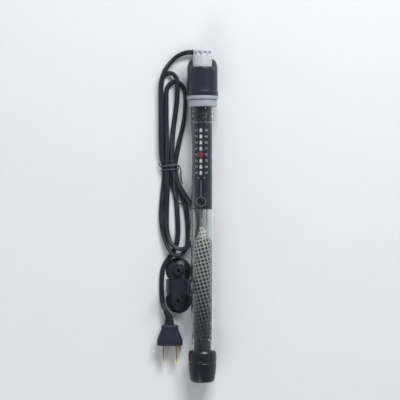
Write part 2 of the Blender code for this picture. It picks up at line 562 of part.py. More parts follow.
def build():
    for old in list(bpy.data.objects):
        bpy.data.objects.remove(old, do_unlink=True)
    axis = empty("heater_axis", AXIS_X, 0, AXIS_Z)
    knob_axis = empty("knob_axis", 0, 0, KNOB_OFFSET, parent=axis)
    bimetal_axis = empty("bimetal_axis", 0, BIMETAL_PIVOT_Y, BIMETAL_Z, parent=axis)
    ground = empty("under_axis", AXIS_X, 0, 0)
    head_cap(axis)
    temperature_knob(knob_axis)
    spindle_and_screw(knob_axis)
    seals_and_rings(axis)
    rubber_bung(axis)
    cord_boot(axis)
    glass_tube(axis)
    scale_card(axis)
    temperature_pointer(axis)
    thermostat(axis, bimetal_axis)
    wires(axis)
    element(axis)
    end_cap(axis)
    cord(ground)
    twist_tie(ground)
    plug(ground)
    bracket(ground)
    suction_cups(ground)


build()
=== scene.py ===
"""The looks of a submersible aquarium heater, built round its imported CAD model.

The heater lies on its back with its knob towards +Y. Shapes are written in millimetres from the
heater's own axis: x to the right, y along the tube, z up. The cord, the plug and the bracket lie on
the floor, so their z is the height above it. A shape is a pair of points and faces.
"""
from math import asin, atan2, copysign, cos, degrees, exp, pi, radians, sin, sqrt, tau

import bmesh
import bpy
import numpy as np
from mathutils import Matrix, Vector

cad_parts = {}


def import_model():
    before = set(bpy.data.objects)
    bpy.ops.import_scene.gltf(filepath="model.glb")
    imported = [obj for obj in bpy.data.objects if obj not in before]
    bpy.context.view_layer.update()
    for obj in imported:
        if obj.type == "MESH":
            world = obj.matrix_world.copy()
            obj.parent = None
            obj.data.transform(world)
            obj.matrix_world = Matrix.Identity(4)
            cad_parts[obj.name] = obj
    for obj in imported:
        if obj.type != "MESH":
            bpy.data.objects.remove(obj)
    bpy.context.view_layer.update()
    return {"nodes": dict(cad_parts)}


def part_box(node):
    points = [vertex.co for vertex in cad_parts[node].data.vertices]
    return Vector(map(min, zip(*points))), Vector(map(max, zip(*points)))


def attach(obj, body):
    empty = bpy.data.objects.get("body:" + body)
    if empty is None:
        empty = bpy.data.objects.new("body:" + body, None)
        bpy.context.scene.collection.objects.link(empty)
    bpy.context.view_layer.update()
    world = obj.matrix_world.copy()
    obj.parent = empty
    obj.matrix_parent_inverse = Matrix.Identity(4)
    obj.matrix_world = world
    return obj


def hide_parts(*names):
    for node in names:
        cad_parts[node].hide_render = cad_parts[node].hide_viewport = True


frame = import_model()


# Sizes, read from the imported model

MM = 0.001
UP = Vector((0, 0, 1))
TUBE_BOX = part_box("glass_tube")
AXIS = Vector(((TUBE_BOX[0][0] + TUBE_BOX[1][0]) / 2, 0, (TUBE_BOX[0][2] + TUBE_BOX[1][2]) / 2))
FLOOR = -AXIS.z / MM


def span(node):
    """Lowest and highest corner of a node, in millimetres from the heater's axis."""
    low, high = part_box(node)
    return (Vector(low) - AXIS) / MM, (Vector(high) - AXIS) / MM


def middle(node):
    low, high = span(node)
    return (low + high) / 2


def radius_of(node):
    low, high = span(node)
    return (high.x - low.x) / 2


TUBE_LOW, TUBE_HIGH = span("glass_tube")
TUBE_RADIUS = radius_of("glass_tube")
TUBE_BORE = TUBE_RADIUS - 1.1
CAP_LOW, CAP_HIGH = span("head_cap")
CAP_LIP_RADIUS = radius_of("head_cap")
CAP_RADIUS = CAP_LIP_RADIUS - 0.6
KNOB_LOW, KNOB_HIGH = span("temperature_knob")
KNOB_Z = middle("temperature_knob").z
BOOT_X, BOOT_Z = 2, -10.7
CARD_LOW, CARD_HIGH = span("scale_card")
CARD_RADIUS = radius_of("scale_card") / sin(radians(85))
GROOVE_DEPTH = 0.55
PRINT_RADIUS = CARD_RADIUS + 0.03
POINTER_LOW, POINTER_HIGH = span("temperature_pointer")
LENS = middle("pilot_lens")
NET_TOP = span("net_sleeve")[1].y
END_LOW, END_HIGH = span("end_cap")


# Making shapes

def world(x, y, z):
    return AXIS + Vector((x, y, z)) * MM


def above_floor(x, y, z):
    return world(x, y, z + FLOOR)


def along_tube(x, z, y):
    return world(x, y, z)


def linked(name, data):
    """A new object in the scene."""
    made = bpy.data.objects.new(name, data)
    bpy.context.scene.collection.objects.link(made)
    return made


def smoothed(mesh, sharp):
    mesh.shade_smooth()
    mesh.set_sharp_from_angle(angle=radians(sharp))


def as_piece(name, shape, material, slot, replaces="", body="housing", sharp=35):
    """Make a shape a piece riding on a body, in place of some CAD nodes."""
    mesh = mesh_of(name, shape)
    mesh.materials.append(material)
    smoothed(mesh, sharp)
    piece = linked(name, mesh)
    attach(piece, body)
    if replaces:
        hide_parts(*replaces.split())
    return piece


def mesh_of(name, shape):
    points, faces = shape
    mesh = bpy.data.meshes.new(name)
    mesh.from_pydata([tuple(point) for point in points], [], faces)
    bm = bmesh.new()
    bm.from_mesh(mesh)
    bmesh.ops.remove_doubles(bm, verts=bm.verts, dist=0.000001)
    bmesh.ops.recalc_face_normals(bm, faces=bm.faces)
    bm.to_mesh(mesh)
    bm.free()
    return mesh


def skin(rings, wrap=False, caps=True):
    """A skin over equal rings of points."""
    points = [point for ring in rings for point in ring]
    count = len(rings[0])
    faces = []
    for row in range(len(rings) if wrap else len(rings) - 1):
        here, there = row * count, (row + 1) % len(rings) * count
        for i in range(count):
            j = (i + 1) % count
            faces.append((here + i, here + j, there + j, there + i))
    if caps and not wrap:
        faces += [tuple(range(count)), tuple(range(len(points) - count, len(points)))]
    return points, faces


def joined(*shapes):
    points, faces = [], []
    for more_points, more_faces in shapes:
        shift = len(points)
        points += more_points
        faces += [tuple(i + shift for i in face) for face in more_faces]
    return points, faces


def circle(count):
    """Angles once round."""
    return [tau * i / count for i in range(count)]


def arc(first, last, count):
    """Angles in equal steps between two numbers of degrees."""
    return [radians(first + (last - first) * step / count) for step in range(count + 1)]


def filleted(corners, steps=4):
    """A profile whose corners (radius, height, fillet) are rounded; a corner without a fillet stays."""
    outline = []
    for i, (across, height, *fillet) in enumerate(corners):
        place = Vector((across, height))
        back = Vector(corners[i - 1][:2]) - place
        on = Vector(corners[(i + 1) % len(corners)][:2]) - place
        if not fillet or min(back.length, on.length) < 1e-6:
            outline.append(place)
            continue
        reach = min(fillet[0], back.length * 0.49, on.length * 0.49)
        start, end = place + back.normalized() * reach, place + on.normalized() * reach
        outline += [(1 - t) ** 2 * start + 2 * t * (1 - t) * place + t * t * end
                    for t in (step / steps for step in range(steps + 1))]
    return outline


def ring_of(radius, height, count, x=0, z=0, place=along_tube):
    """Points round an axis. The radius is a number or a function of the angle."""
    size = radius if callable(radius) else lambda angle: radius
    return [place(x + size(a) * sin(a), z + size(a) * cos(a), height) for a in circle(count)]


def turned(profile, segments=128, x=0, z=0, place=along_tube):
    """A profile of (radius, height) turned about an axis, which it may start and end on."""
    on_axis = profile[0][0] < 1e-6 and profile[-1][0] < 1e-6
    rings = [ring_of(radius, height, segments, x, z, place) for radius, height in profile]
    return skin(rings, wrap=not on_axis, caps=False)


def rod(radius, start, end):
    """The profile of a plain round bar."""
    return [(0, start), (radius, start), (radius, end), (0, end)]


def turned_piece(name, corners, material, slot, replaces, segments=128, z=0, steps=4, **going):
    shape = turned(filleted(corners, steps), segments, z=z)
    return as_piece(name, shape, material, slot, replaces, **going)


def prism(outline, start, end, place=world):
    """A bar between two levels, with its outline's points set by place(a, b, level)."""
    return skin([[place(a, b, level) for a, b in outline] for level in (start, end)])


def smooth_route(points, per_stretch):
    """Points along a Catmull-Rom curve through the given ones."""
    given = np.array(points, dtype=float)
    last = len(given) - 1
    route = []
    for i in range(last):
        before, here, there, after = given[[max(i - 1, 0), i, i + 1, min(i + 2, last)]]
        for step in range(per_stretch):
            t = step / per_stretch
            route.append(0.5 * (2 * here + (there - before) * t
                                + (2 * before - 5 * here + 4 * there - after) * t * t
                                + (3 * here - before - 3 * there + after) * t ** 3))
    return np.array(route + [given[-1]])


def swept(path, section, rolls=None, alongs=None, sizes=None):
    """A section of (across, up) millimetres carried along a path in metres."""
    last = len(path) - 1
    rings = []
    for i, place in enumerate(path):
        along = alongs[i] if alongs else (path[min(i + 1, last)] - path[max(i - 1, 0)]).normalized()
        across = along.cross(UP).normalized()
        turn, size = rolls[i] if rolls else 0, sizes[i] * MM if sizes else MM
        wide = across * cos(turn) + across.cross(along) * sin(turn)
        tall = wide.cross(along)
        rings.append([place + (wide * a + tall * b) * size for a, b in section])
    return skin(rings)


def oval(radius_x, radius_y, count):
    return [(radius_x * cos(a), radius_y * sin(a)) for a in circle(count)]


def rounded_rectangle(half_width, half_height, corner, steps=5):
    """Its points, anticlockwise from the right side."""
    return [(side_x * (half_width - corner) + corner * cos(angle),
             side_y * (half_height - corner) + corner * sin(angle))
            for quarter, (side_x, side_y) in enumerate(((1, 1), (-1, 1), (-1, -1), (1, -1)))
            for angle in arc(90 * quarter, 90 * quarter + 90, steps)]


def smoothstep(value, low, high):
    t = min(max((value - low) / (high - low), 0), 1)
    return t * t * (3 - 2 * t)


def between(start, end, t):
    return start + (end - start) * t


def cut(piece, shape, operation="DIFFERENCE"):
    """Take a shape out of a piece, or unite it with the piece."""
    other = linked("cutter", mesh_of("cutter", shape))
    modify(piece, "BOOLEAN", operation=operation, solver="EXACT", object=other)
    bpy.data.objects.remove(other, do_unlink=True)


def round_edges(piece, width, segments):
    modify(piece, "BEVEL", width=width * MM, segments=segments, limit_method="ANGLE",
           angle_limit=radians(40), harden_normals=False)


def modify(piece, kind, **settings):
    """Replace a piece's mesh with what a modifier makes of it."""
    modifier = piece.modifiers.new(kind.lower(), kind)
    for setting, value in settings.items():
        setattr(modifier, setting, value)
    mesh = evaluated(piece)
    piece.modifiers.clear()
    piece.data = mesh
    smoothed(mesh, 35)


def evaluated(thing):
    return bpy.data.meshes.new_from_object(thing.evaluated_get(bpy.context.evaluated_depsgraph_get()))


# Materials

def feed(node, *ordered, **named):
    """Link or set a node's sockets, in their order or by names written with underscores."""
    named = {name.replace("_", " "): value for name, value in named.items()}
    for key, value in (*enumerate(ordered), *named.items()):
        socket = node.inputs[key]
        if isinstance(value, bpy.types.NodeSocket):
            node.id_data.links.new(value, socket)
        else:
            socket.default_value = value
    return node


class Look:
    """A Principled material driven by procedural textures."""

    def __init__(self, name, colour, roughness, **constants):
        self.material = bpy.data.materials.new(name)
        self.material.use_nodes = True
        self.nodes = self.material.node_tree.nodes
        self.shader = self.nodes["Principled BSDF"]
        self.place = self.nodes.new("ShaderNodeTexCoord").outputs["Object"]
        self.colour = (*colour, 1)
        self.normal = None
        feed(self.shader, Base_Color=self.colour, Roughness=roughness, **constants)

    def node(self, kind, *ordered, **named):
        return feed(self.nodes.new("ShaderNode" + kind), *ordered, **named)

    def noise(self, size, detail=3, stretch=(1, 1, 1)):
        """Noise with features of about this size in millimetres, from 0 to 1."""
        mapping = self.node("Mapping", Vector=self.place, Scale=stretch)
        return self.node("TexNoise", Vector=mapping.outputs["Vector"], Scale=1 / (size * MM),
                         Detail=detail, Roughness=0.55).outputs["Fac"]

    def mapped(self, value, low, high, start=0.3, end=0.7):
        value = self.noise(*value) if isinstance(value, tuple) else value
        return self.node("MapRange", Value=value, From_Min=start, From_Max=end, To_Min=low,
                         To_Max=high).outputs["Result"]

    def tint(self, factor, colour, start=0.3, end=0.7, most=1):
        """Mix a colour in where the factor is high. A factor may be a noise, given by its numbers."""
        mix = self.nodes.new("ShaderNodeMix")
        mix.data_type = "RGBA"
        feed(mix, A=self.colour, B=(*colour, 1), Factor=self.mapped(factor, 0, most, start, end))
        self.colour = mix.outputs["Result"]
        feed(self.shader, Base_Color=self.colour)

    def gloss(self, factor, low, high, start=0.3, end=0.7):
        """Drive the roughness between two values."""
        feed(self.shader, Roughness=self.mapped(factor, low, high, start, end))

    def bump(self, factor, depth, strength=1):
        """Raise the surface by up to this depth in millimetres."""
        made = self.node("Bump", Distance=depth * MM, Strength=strength, Height=self.noise(*factor))
        if self.normal:
            feed(made, Normal=self.normal)
        self.normal = made.outputs["Normal"]
        feed(self.shader, Normal=self.normal)

    def sunken(self):
        """0 where a yarn crosses over another, and 1 between and under the crossings, where painted shade
        goes.
        """
        crest = self.nodes.new("ShaderNodeAttribute")
        crest.attribute_name = "crest"
        return self.mapped(crest.outputs["Fac"], 1, 0, 0.5, 0.9)


def moulded(name, colour, roughness, light, wear=0.35, **constants):
    """Injection-moulded plastic with a fine grain, cloudy gloss and rubbed edges."""
    look = Look(name, colour, roughness, **constants)
    look.tint((14, 4), light, 0.42, 0.75, 0.35)
    look.tint((1.6,), light, 0.5, 0.8, 0.15)
    edge = look.nodes.new("ShaderNodeNewGeometry").outputs["Pointiness"]
    look.tint(look.mapped(edge, 0, 1, 0.52, 0.6), light, 0, 1, wear)
    look.gloss((6, 4), roughness - 0.05, roughness + 0.08)
    look.bump((0.35, 2), 0.01, 0.5)
    look.bump((9, 1), 0.05, 0.35)
    return look.material


def soft_rubber(name, colour, roughness, light):
    look = Look(name, colour, roughness, Specular_IOR_Level=0.28)
    look.tint((8, 5), light, 0.45, 0.75, 0.5)
    look.tint((0.5, 2), light, 0.62, 0.74, 0.35)
    look.gloss((3,), roughness - 0.08, roughness + 0.1)
    look.bump((0.22,), 0.014, 0.6)
    return look.material


def clear_glass():
    """Drawn glass: hardly wavy along the tube, faintly smeared, and passed by lamp light."""
    look = Look("clear_glass", (0.965, 0.985, 0.98), 0.012, Transmission_Weight=1, IOR=1.47)
    look.gloss((18, 4, (1, 0.25, 1)), 0, 0.03, 0.5, 0.8)
    look.bump((24, 1, (1, 0.1, 1)), 0.02, 0.08)
    passing = look.node("BsdfTransparent", (0.93, 0.96, 0.95, 1)).outputs["BSDF"]
    shadow = look.node("LightPath").outputs["Is Shadow Ray"]
    mix = look.node("MixShader", shadow, look.shader.outputs["BSDF"], passing)
    feed(look.nodes["Material Output"], Surface=mix.outputs["Shader"])
    return look.material


def lamp_glass():
    look = Look("lamp_glass", (0.85, 0.55, 0.38), 0.08, Transmission_Weight=0.6)
    look.gloss((2,), 0.05, 0.2)
    return look.material


def metal(name, colour, roughness, dull):
    drawn = (1, 0.05, 1)
    look = Look(name, colour, roughness, Metallic=1)
    look.tint((3, 4), dull, 0.4, 0.75, 0.7)
    look.gloss((0.6, 4, drawn), roughness - 0.08, roughness + 0.14)
    look.bump((0.15, 2, drawn), 0.006, 0.5)
    return look.material


def fibre(name, light, dark, top, bottom):
    """White yarn with painted shade: it greys, then goes black, towards the element's foot, and darkens in
    the hollows under the crossings.
    """
    look = Look(name, light, 0.62, Sheen_Weight=0.25, Sheen_Roughness=0.4, Specular_IOR_Level=0.35)
    height = look.node("SeparateXYZ", Vector=look.place).outputs["Y"]
    # Painted shade: the yarn darkens from the top of the sleeve towards its foot.
    look.tint(height, dark, top * MM, bottom * MM, 1)
    # Painted shade: near black in the hollows under the crossings, low on the sleeve.
    low_hollow_shade = look.node("Math", look.mapped(height, 0, 1, -58 * MM, -100 * MM), look.sunken())
    low_hollow_shade.operation = "MULTIPLY"
    look.tint(low_hollow_shade.outputs["Value"], (0.01, 0.01, 0.013), 0, 1, 0.97)
    # Painted shade in the hollows under the crossings, all along the sleeve.
    look.tint(look.sunken(), dark, 0, 1, 0.3)
    # Painted shade: near black at the sleeve's foot.
    look.tint(height, (0.013, 0.013, 0.016), -84 * MM, -116 * MM, 0.8)
    look.tint((5, 4), dark, 0.5, 0.8, 0.5)
    look.tint((0.25,), dark, 0.55, 0.75, 0.35)
    look.bump((0.16,), 0.03, 0.8)
    return look.material


def ceramic(name, colour, dark):
    look = Look(name, colour, 0.55)
    look.tint((4, 5), dark, 0.4, 0.75, 0.6)
    look.tint((0.35, 2), dark, 0.62, 0.7, 0.6)
    look.bump((0.3,), 0.02, 0.6)
    return look.material


def sheath():
    """The cord's soft vinyl, with long faint drag lines."""
    dragged = (1, 0.15, 1)
    look = Look("cord_sheath", (0.017, 0.022, 0.034), 0.38, Specular_IOR_Level=0.34)
    look.tint((11, 4), (0.032, 0.041, 0.058), 0.42, 0.75, 0.6)
    look.tint((0.9, 3, dragged), (0.048, 0.057, 0.078), 0.58, 0.75, 0.35)
    look.gloss((4, 4, (1, 0.3, 1)), 0.3, 0.5)
    look.bump((0.5, 2, dragged), 0.012, 0.5)
    return look.material


def printed(name, colour, thin):
    """Screen-printed ink, a little uneven."""
    look = Look(name, colour, 0.5)
    look.tint((0.7,), thin, 0.5, 0.75, 0.5)
    look.bump((0.2, 2), 0.006, 0.5)
    return look.material


BLACK_PLASTIC = moulded("black_plastic", (0.019, 0.025, 0.038), 0.32, (0.039, 0.047, 0.065),
                        Specular_IOR_Level=0.32)
END_PLASTIC = moulded("end_cap_plastic", (0.011, 0.014, 0.021), 0.27, (0.03, 0.036, 0.047),
                      Specular_IOR_Level=0.36)
KNOB_PLASTIC = moulded("knob_plastic", (0.52, 0.53, 0.57), 0.36, (0.66, 0.67, 0.7), wear=0.5)
RING_PLASTIC = moulded("ring_plastic", (0.33, 0.36, 0.41), 0.4, (0.48, 0.51, 0.56), wear=0.5)
CARD_BLACK = moulded("card_black", (0.009, 0.013, 0.025), 0.5, (0.018, 0.024, 0.04), wear=0.2,
                     Specular_IOR_Level=0.2)
RED_PLASTIC = moulded("red_plastic", (0.33, 0.026, 0.062), 0.34, (0.43, 0.06, 0.11), wear=0.3)
LENS_RED = moulded("lens_dark_red", (0.01, 0.0075, 0.014), 0.2, (0.022, 0.014, 0.024), wear=0.2,
                   Specular_IOR_Level=0.3)
BUNG_RUBBER = soft_rubber("bung_rubber", (0.01, 0.012, 0.016), 0.42, (0.03, 0.033, 0.04))
BLACK_RUBBER = soft_rubber("black_rubber", (0.014, 0.015, 0.019), 0.55, (0.038, 0.04, 0.047))
CUP_RUBBER = soft_rubber("cup_rubber", (0.016, 0.02, 0.029), 0.36, (0.04, 0.046, 0.058))
TIE_VINYL = soft_rubber("tie_vinyl", (0.06, 0.066, 0.08), 0.32, (0.13, 0.14, 0.16))
CORD_SHEATH = sheath()
GLASS = clear_glass()
LAMP_GLASS = lamp_glass()
STEEL = metal("bright_steel", (0.62, 0.62, 0.61), 0.26, (0.42, 0.42, 0.42))
BRASS = metal("brass", (0.66, 0.5, 0.25), 0.28, (0.42, 0.3, 0.14))
WIRE_DARK = metal("element_wire", (0.04, 0.038, 0.038), 0.5, (0.015, 0.015, 0.015))
NICKEL = metal("oxidised_nickel", (0.13, 0.13, 0.13), 0.42, (0.06, 0.06, 0.06))
CERAMIC = ceramic("ceramic_white", (0.62, 0.6, 0.54), (0.38, 0.35, 0.3))
CORE_DARK = ceramic("ceramic_fired_dark", (0.035, 0.034, 0.034), (0.015, 0.015, 0.016))
BOARD = ceramic("phenolic_board", (0.046, 0.028, 0.017), (0.024, 0.014, 0.009))
# The last two numbers are the heights over which painted shade darkens the yarn towards the foot.
NET_FIBRE = fibre("net_fibre", (0.61, 0.585, 0.58), (0.15, 0.148, 0.16), -24, -112)
NECK_FIBRE = fibre("neck_fibre", (0.86, 0.84, 0.82), (0.6, 0.58, 0.57), -14, -40)
INK = printed("scale_ink", (0.78, 0.79, 0.84), (0.64, 0.66, 0.72))
INK_DIM = printed("number_ink", (0.48, 0.52, 0.6), (0.34, 0.38, 0.46))


# Camera

def camera():
    """Looks straight down, with the knob at the top of the picture."""
    lens, sensor = 150, 36
    frame_width, frame_centre_x, frame_centre_y = 388, -2.3, 15.67
    data = bpy.data.cameras.new("camera")
    data.lens, data.sensor_width, data.clip_end = lens, sensor, 10
    made = linked("camera", data)
    made.location = world(frame_centre_x, frame_centre_y, frame_width * lens / sensor)
    bpy.context.scene.camera = made


# Cord

CORD_WIDTH, CORD_THICKNESS = 4.8, 3.1
TIE_Y = 46.4
TIE_WIRE = 0.8

# Each stretch runs on from the last: (x, y, height of its underside, roll), the last two 0 where they
# are left out. A roll of 0 lies flat and of 90 stands on edge, as flat cord does in a tight turn.
CORD_ROUTE = {
    "lead": [
        (-10, 160, 3.05), (-17, 159.2, 2.7, 22), (-24.4, 155.9, 1.9, 45), (-30.4, 150.6, 1.8, 50),
        (-34.9, 144.6, 3.7, 40), (-38.3, 137.4, 4.7, 28), (-40, 128.5, 3.8, 15), (-40.4, 117, 3.2),
        (-40.4, 101, 3.2), (-40.4, 85, 3.2), (-40.2, 70, 3.2), (-40, 61.5, 2.9), (-38.9, 54.5, 1),
        (-37, 46.4)],
    "left_bottom_loop": [
        (-37.4, 36), (-38.8, 22), (-40, 8), (-40.2, -2, 0, 15), (-39.4, -11, 0, 35),
        (-37.8, -19, 0.4, 50), (-35.4, -26.5, 1.4, 58), (-32.2, -33, 2.9, 60), (-28, -37.6, 3.2, 62),
        (-22.8, -38.4, 1.6, 65), (-18.2, -35.2, 0.3, 65), (-15.4, -29.8, 0, 62), (-14.4, -22.5, 0, 50),
        (-14.4, -13, 0, 30), (-14.8, -4, 0, 10), (-15.7, 4), (-17.4, 12), (-19.9, 19.5), (-22.5, 27.5),
        (-25, 36.5), (-27, 46.4)],
    "right_top_loop": [
        (-25, 60), (-22.4, 73.6, 0, 15), (-19.6, 85, 0, 40), (-17.7, 97, 0, 65), (-16.9, 109, 0, 75),
        (-16.9, 117.5, 0, 72), (-18.1, 124.5, 0, 58), (-21.6, 129.4, 0, 40), (-26, 131.2, 0, 25),
        (-30.4, 129.9, 0, 30), (-33.9, 126, 0, 35), (-35.2, 120.5, 0, 25), (-35.3, 113, 0, 10),
        (-35.3, 98), (-35.1, 84, 0.3), (-34.7, 72, 1.9), (-34.5, 62, 3.1), (-34.5, 54, 3.15),
        (-34.5, 46.4, 3.1)],
    "right_bottom_loop": [
        (-34.3, 36, 3.1), (-34.2, 27, 2.5), (-34.5, 17.5, 1), (-34.9, 7.5), (-35.1, -3, 0, 8),
        (-34.6, -13, 0, 28), (-32.9, -21, 1, 40), (-29.9, -27.2, 2.7, 42), (-25.4, -31.2, 3.5, 42),
        (-20.2, -32.4, 3.9, 45), (-15.2, -30.4, 4.7, 42), (-10.9, -26, 4, 48), (-7.6, -19.6, 1.4, 55),
        (-5.7, -11.5, 0.5, 58), (-5.6, -3, 0.2, 55), (-7.9, 5, 0.2, 45), (-11.8, 12.4, 1.6, 22),
        (-15.8, 18.6, 3.1, 6), (-19.8, 25, 3.3), (-23.7, 32.2, 3.2), (-27.3, 39.6, 3.15),
        (-29.6, 46.4, 3.1)],
    "left_top_loop": [
        (-29.8, 54, 3.15), (-29.6, 62, 3.1), (-29.3, 72, 1.9), (-28.6, 83, 0.4), (-27.2, 94),
        (-25.8, 105, 0.3), (-24.8, 115, 1.6), (-24.4, 123.5, 3.5, 5), (-24.6, 130.6, 4.3, 15),
        (-25.9, 135.6, 3.8, 30), (-28.6, 138.6, 2.4, 42), (-32.4, 139.6, 0.7, 45),
        (-36.2, 138.3, 0, 38), (-39, 135.4, 0, 30), (-40.3, 130, 0, 12), (-40.5, 120), (-40.4, 104),
        (-40.3, 88), (-39.3, 74), (-36.9, 64), (-33.6, 55), (-31.95, 46.4)],
    "tail": [
        (-31, 38.5), (-29, 30), (-26.4, 21), (-25.1, 11), (-24.4, 0), (-23.9, -11), (-24.1, -20),
        (-25.5, -28), (-28.6, -35.4), (-33, -41.8), (-36.9, -47.6), (-39.1, -54.5), (-39.8, -63),
        (-39.8, -72, 0.1), (-39.5, -80, 1), (-38.4, -86.4, 2.9), (-36.1, -91.5, 4.8), (-35.3, -93, 5)],
}


def flat_cord_section():
    """Two round cores side by side under one skin, with a shallow groove between."""
    half = CORD_THICKNESS / 2
    shift = CORD_WIDTH / 2 - half
    groove_depth, groove_width = 0.28, 0.42
    points = []
    for side in (1, -1):
        points += [(side * (shift + half * cos(a)), side * half * sin(a)) for a in arc(-90, 90, 8)]
        for part in (0.8, 0.4, 0, -0.4, -0.8):
            x = side * shift * part
            points.append((x, side * (half - groove_depth * exp(-(x / groove_width) ** 2))))
    return points


def cord_line():
    """The cord's middle in metres and its roll in radians, all along its route."""
    tie_reach, clearance = 9, 0.05
    points = [(*point, 0, 0)[:4] for stretch in CORD_ROUTE.values() for point in stretch]
    line, rolls = [], []
    for x, y, lift, roll in smooth_route(points, 6):
        turn = radians(roll)
        half_height = CORD_THICKNESS / 2 + (CORD_WIDTH - CORD_THICKNESS) / 2 * abs(sin(turn))
        on_tie = TIE_WIRE * exp(-((y - TIE_Y) / tie_reach) ** 2)
        line.append(above_floor(x, y, max(lift, 0) + on_tie + half_height + clearance))
        rolls.append(turn)
    return line, rolls


def cord():
    line, rolls = cord_line()
    piece = as_piece("mains_cord", swept(line, flat_cord_section(), rolls), CORD_SHEATH, "cord_sheath",
                     "cord_lead cord_hank cord_tail", sharp=60)


def twist_tie():
    """A covered wire wound twice round the hank, with its ends twisted and bent away."""
    around = [(-40, 2.6), (-39.3, 0.45), (-32, 0.4), (-24.7, 0.45), (-24, 2.6), (-24.9, 5.4),
              (-28, 7.6), (-36.2, 7.6), (-39.3, 5)]
    first, last, windings, start = 49.6, 42.2, 2, 5
    steps = windings * len(around)
    winding = []
    for i, y in enumerate(np.linspace(first, last, steps + 1)):
        x, z = around[(i + start) % len(around)]
        winding.append((x, y, z))
    head = [(-19.2, 31.5, 2.2), (-20.4, 34.6, 2.4), (-20.9, 40, 3.2), (-21.2, 46, 4.2),
            (-22.5, 48.9, 5.2)]
    tail = [(-23.3, 46.2, 6.2), (-24.4, 49.4, 6.7), (-28, 50.3, 7.4), (-35, 49.2, 7.2),
            (-40.6, 48.4, 4.4), (-43.2, 51.6, 2.6)]
    loose = [(-27.5, 42.5, 6.6), (-27.8, 36, 7), (-27.6, 28.5, 4.6), (-26.4, 20, 4.4),
             (-23.6, 13.6, 3.4), (-20, 11.4, 1.2)]
    section = oval(0.62, 0.36, 10)
    wires = [swept([above_floor(*point) for point in smooth_route(route, per_stretch)], section)
             for route, per_stretch in ((head + winding + tail, 5), (loose, 6))]
    as_piece("twist_tie_wire", joined(*wires), TIE_VINYL, "black_rubber", "twist_tie")


def cord_boot():
    """The ribbed strain relief where the cord leaves the head."""
    bend, bend_start = 12, 148
    foot = span("cord_boot")[0].y + 0.3
    path = [world(BOOT_X, height, BOOT_Z) for height in np.linspace(foot, bend_start, 14)]
    path += [world(BOOT_X - bend * (1 - cos(turn)), bend_start + bend * sin(turn), BOOT_Z)
             for turn in arc(0, 90, 40)[1:]]
    foot_radius, narrowing, rib_depth, first_rib, rib_rate = 3.2, 0.6, 0.35, 0.35, 46
    radii = []
    for t in np.linspace(0, 1, len(path)):
        rib = rib_depth * (0.5 + 0.5 * cos((t - first_rib) * rib_rate)) if t > first_rib else 0
        radii.append(foot_radius - narrowing * t - rib)
    as_piece("cord_boot_ribbed", swept(path, oval(1, 1, 32), sizes=radii), BLACK_RUBBER, "black_rubber",
             "cord_boot")


def plug():
    """A two-blade plug with finger grips, and its slotted strain relief."""
    low, high = span("plug_body")
    centre = middle("plug_body")
    length = high.y - low.y
    steps, edge_round, grip_depth, grips, dish_depth = 46, 1.7, 0.5, 8, 0.55
    rings = []
    for t in np.linspace(0, 1, steps + 1):
        half_width = (high.x - low.x) / 2 - 4.2 * smoothstep(t, 0.2, 0.95)
        half_height = (high.z - low.z) / 2 - 1.6 * smoothstep(t, 0.3, 1)
        from_edge = min(min(t, 1 - t) * length / edge_round, 1)
        rounding = edge_round * (1 - sqrt(max(0, 1 - (1 - from_edge) ** 2)))
        grip = grip_depth * (0.5 - 0.5 * cos(tau * (t - 0.36) * grips)) if 0.36 < t < 0.86 else 0
        ring = []
        for a, b in rounded_rectangle(half_width - rounding, half_height - rounding, 4 - 0.8 * t, 8):
            on_side = smoothstep(abs(a), half_width - 3, half_width - 1.2)
            inward = 1 - grip * on_side / max(abs(a), 1)
            dish = dish_depth * exp(-((t - 0.55) / 0.22) ** 2 - (a / (half_width * 0.55)) ** 2)
            ring.append(world(centre.x + a * inward, low.y + t * length, centre.z + b - copysign(dish, b)))
        rings.append(ring)
    as_piece("plug_moulding", skin(rings), BLACK_PLASTIC, "bracket", "plug_body")

    bend, sweep, foot_radius, narrowing, ribs = 24.6, 33, 4.6, 1.7, 6.5
    path, alongs, radii = [], [], []
    for turn in arc(0, sweep, 60):
        t = turn / radians(sweep)
        path.append(world(centre.x - bend * (1 - cos(turn)), high.y - 0.2 + (bend + 0.5) * sin(turn),
                          centre.z - t))
        alongs.append(Vector((-sin(turn), cos(turn), -0.05)).normalized())
        rib = 0.5 * smoothstep(cos(tau * t * ribs), 0.1, 0.6) if 0.1 < t < 0.93 else 0
        radii.append(foot_radius - narrowing * t - rib)
    as_piece("plug_strain_relief", swept(path, oval(1, 0.92, 32), alongs=alongs, sizes=radii),
             BLACK_RUBBER, "black_rubber", "plug_boot")
    blade("plug_blade_a", "plug_blade_live")
    blade("plug_blade_b", "plug_blade_neutral")


def blade(name, node):
    """A brass blade with a chamfered tip and its latch hole."""
    low, high = span(node)
    centre_z, half = middle(node).z, (high.z - low.z) / 2
    outline = [(high.y + 1.5, -half), (high.y + 1.5, half), (low.y + 1.8, half), (low.y + 0.5, half - 0.7),
               (low.y, half - 1.9), (low.y, 1.9 - half), (low.y + 0.5, 0.7 - half), (low.y + 1.8, -half)]
    inset, hole_radius, hole_y = 0.12, 1.6, low.y + 3.6

    def across(y, z, x):
        return world(x, y, centre_z + z)

    piece = as_piece(name, prism(outline, low.x + inset, high.x - inset, across), BRASS, "brass", node)
    hole = [(hole_y + a, b) for a, b in oval(hole_radius, hole_radius, 32)]
    cut(piece, prism(hole, low.x - 1, high.x + 1, across))
    round_edges(piece, 0.16, 2)


# Head

def rim_height(angle):
    """The cap's top edge: high behind and beside the knob, and low in front of it."""
    front_top, scoop_start, scoop_end = CAP_HIGH.y - 7.9, 62, 108
    from_front = abs(degrees(atan2(sin(angle), cos(angle))))
    return front_top + (CAP_HIGH.y - front_top) * smoothstep(from_front, scoop_start, scoop_end)


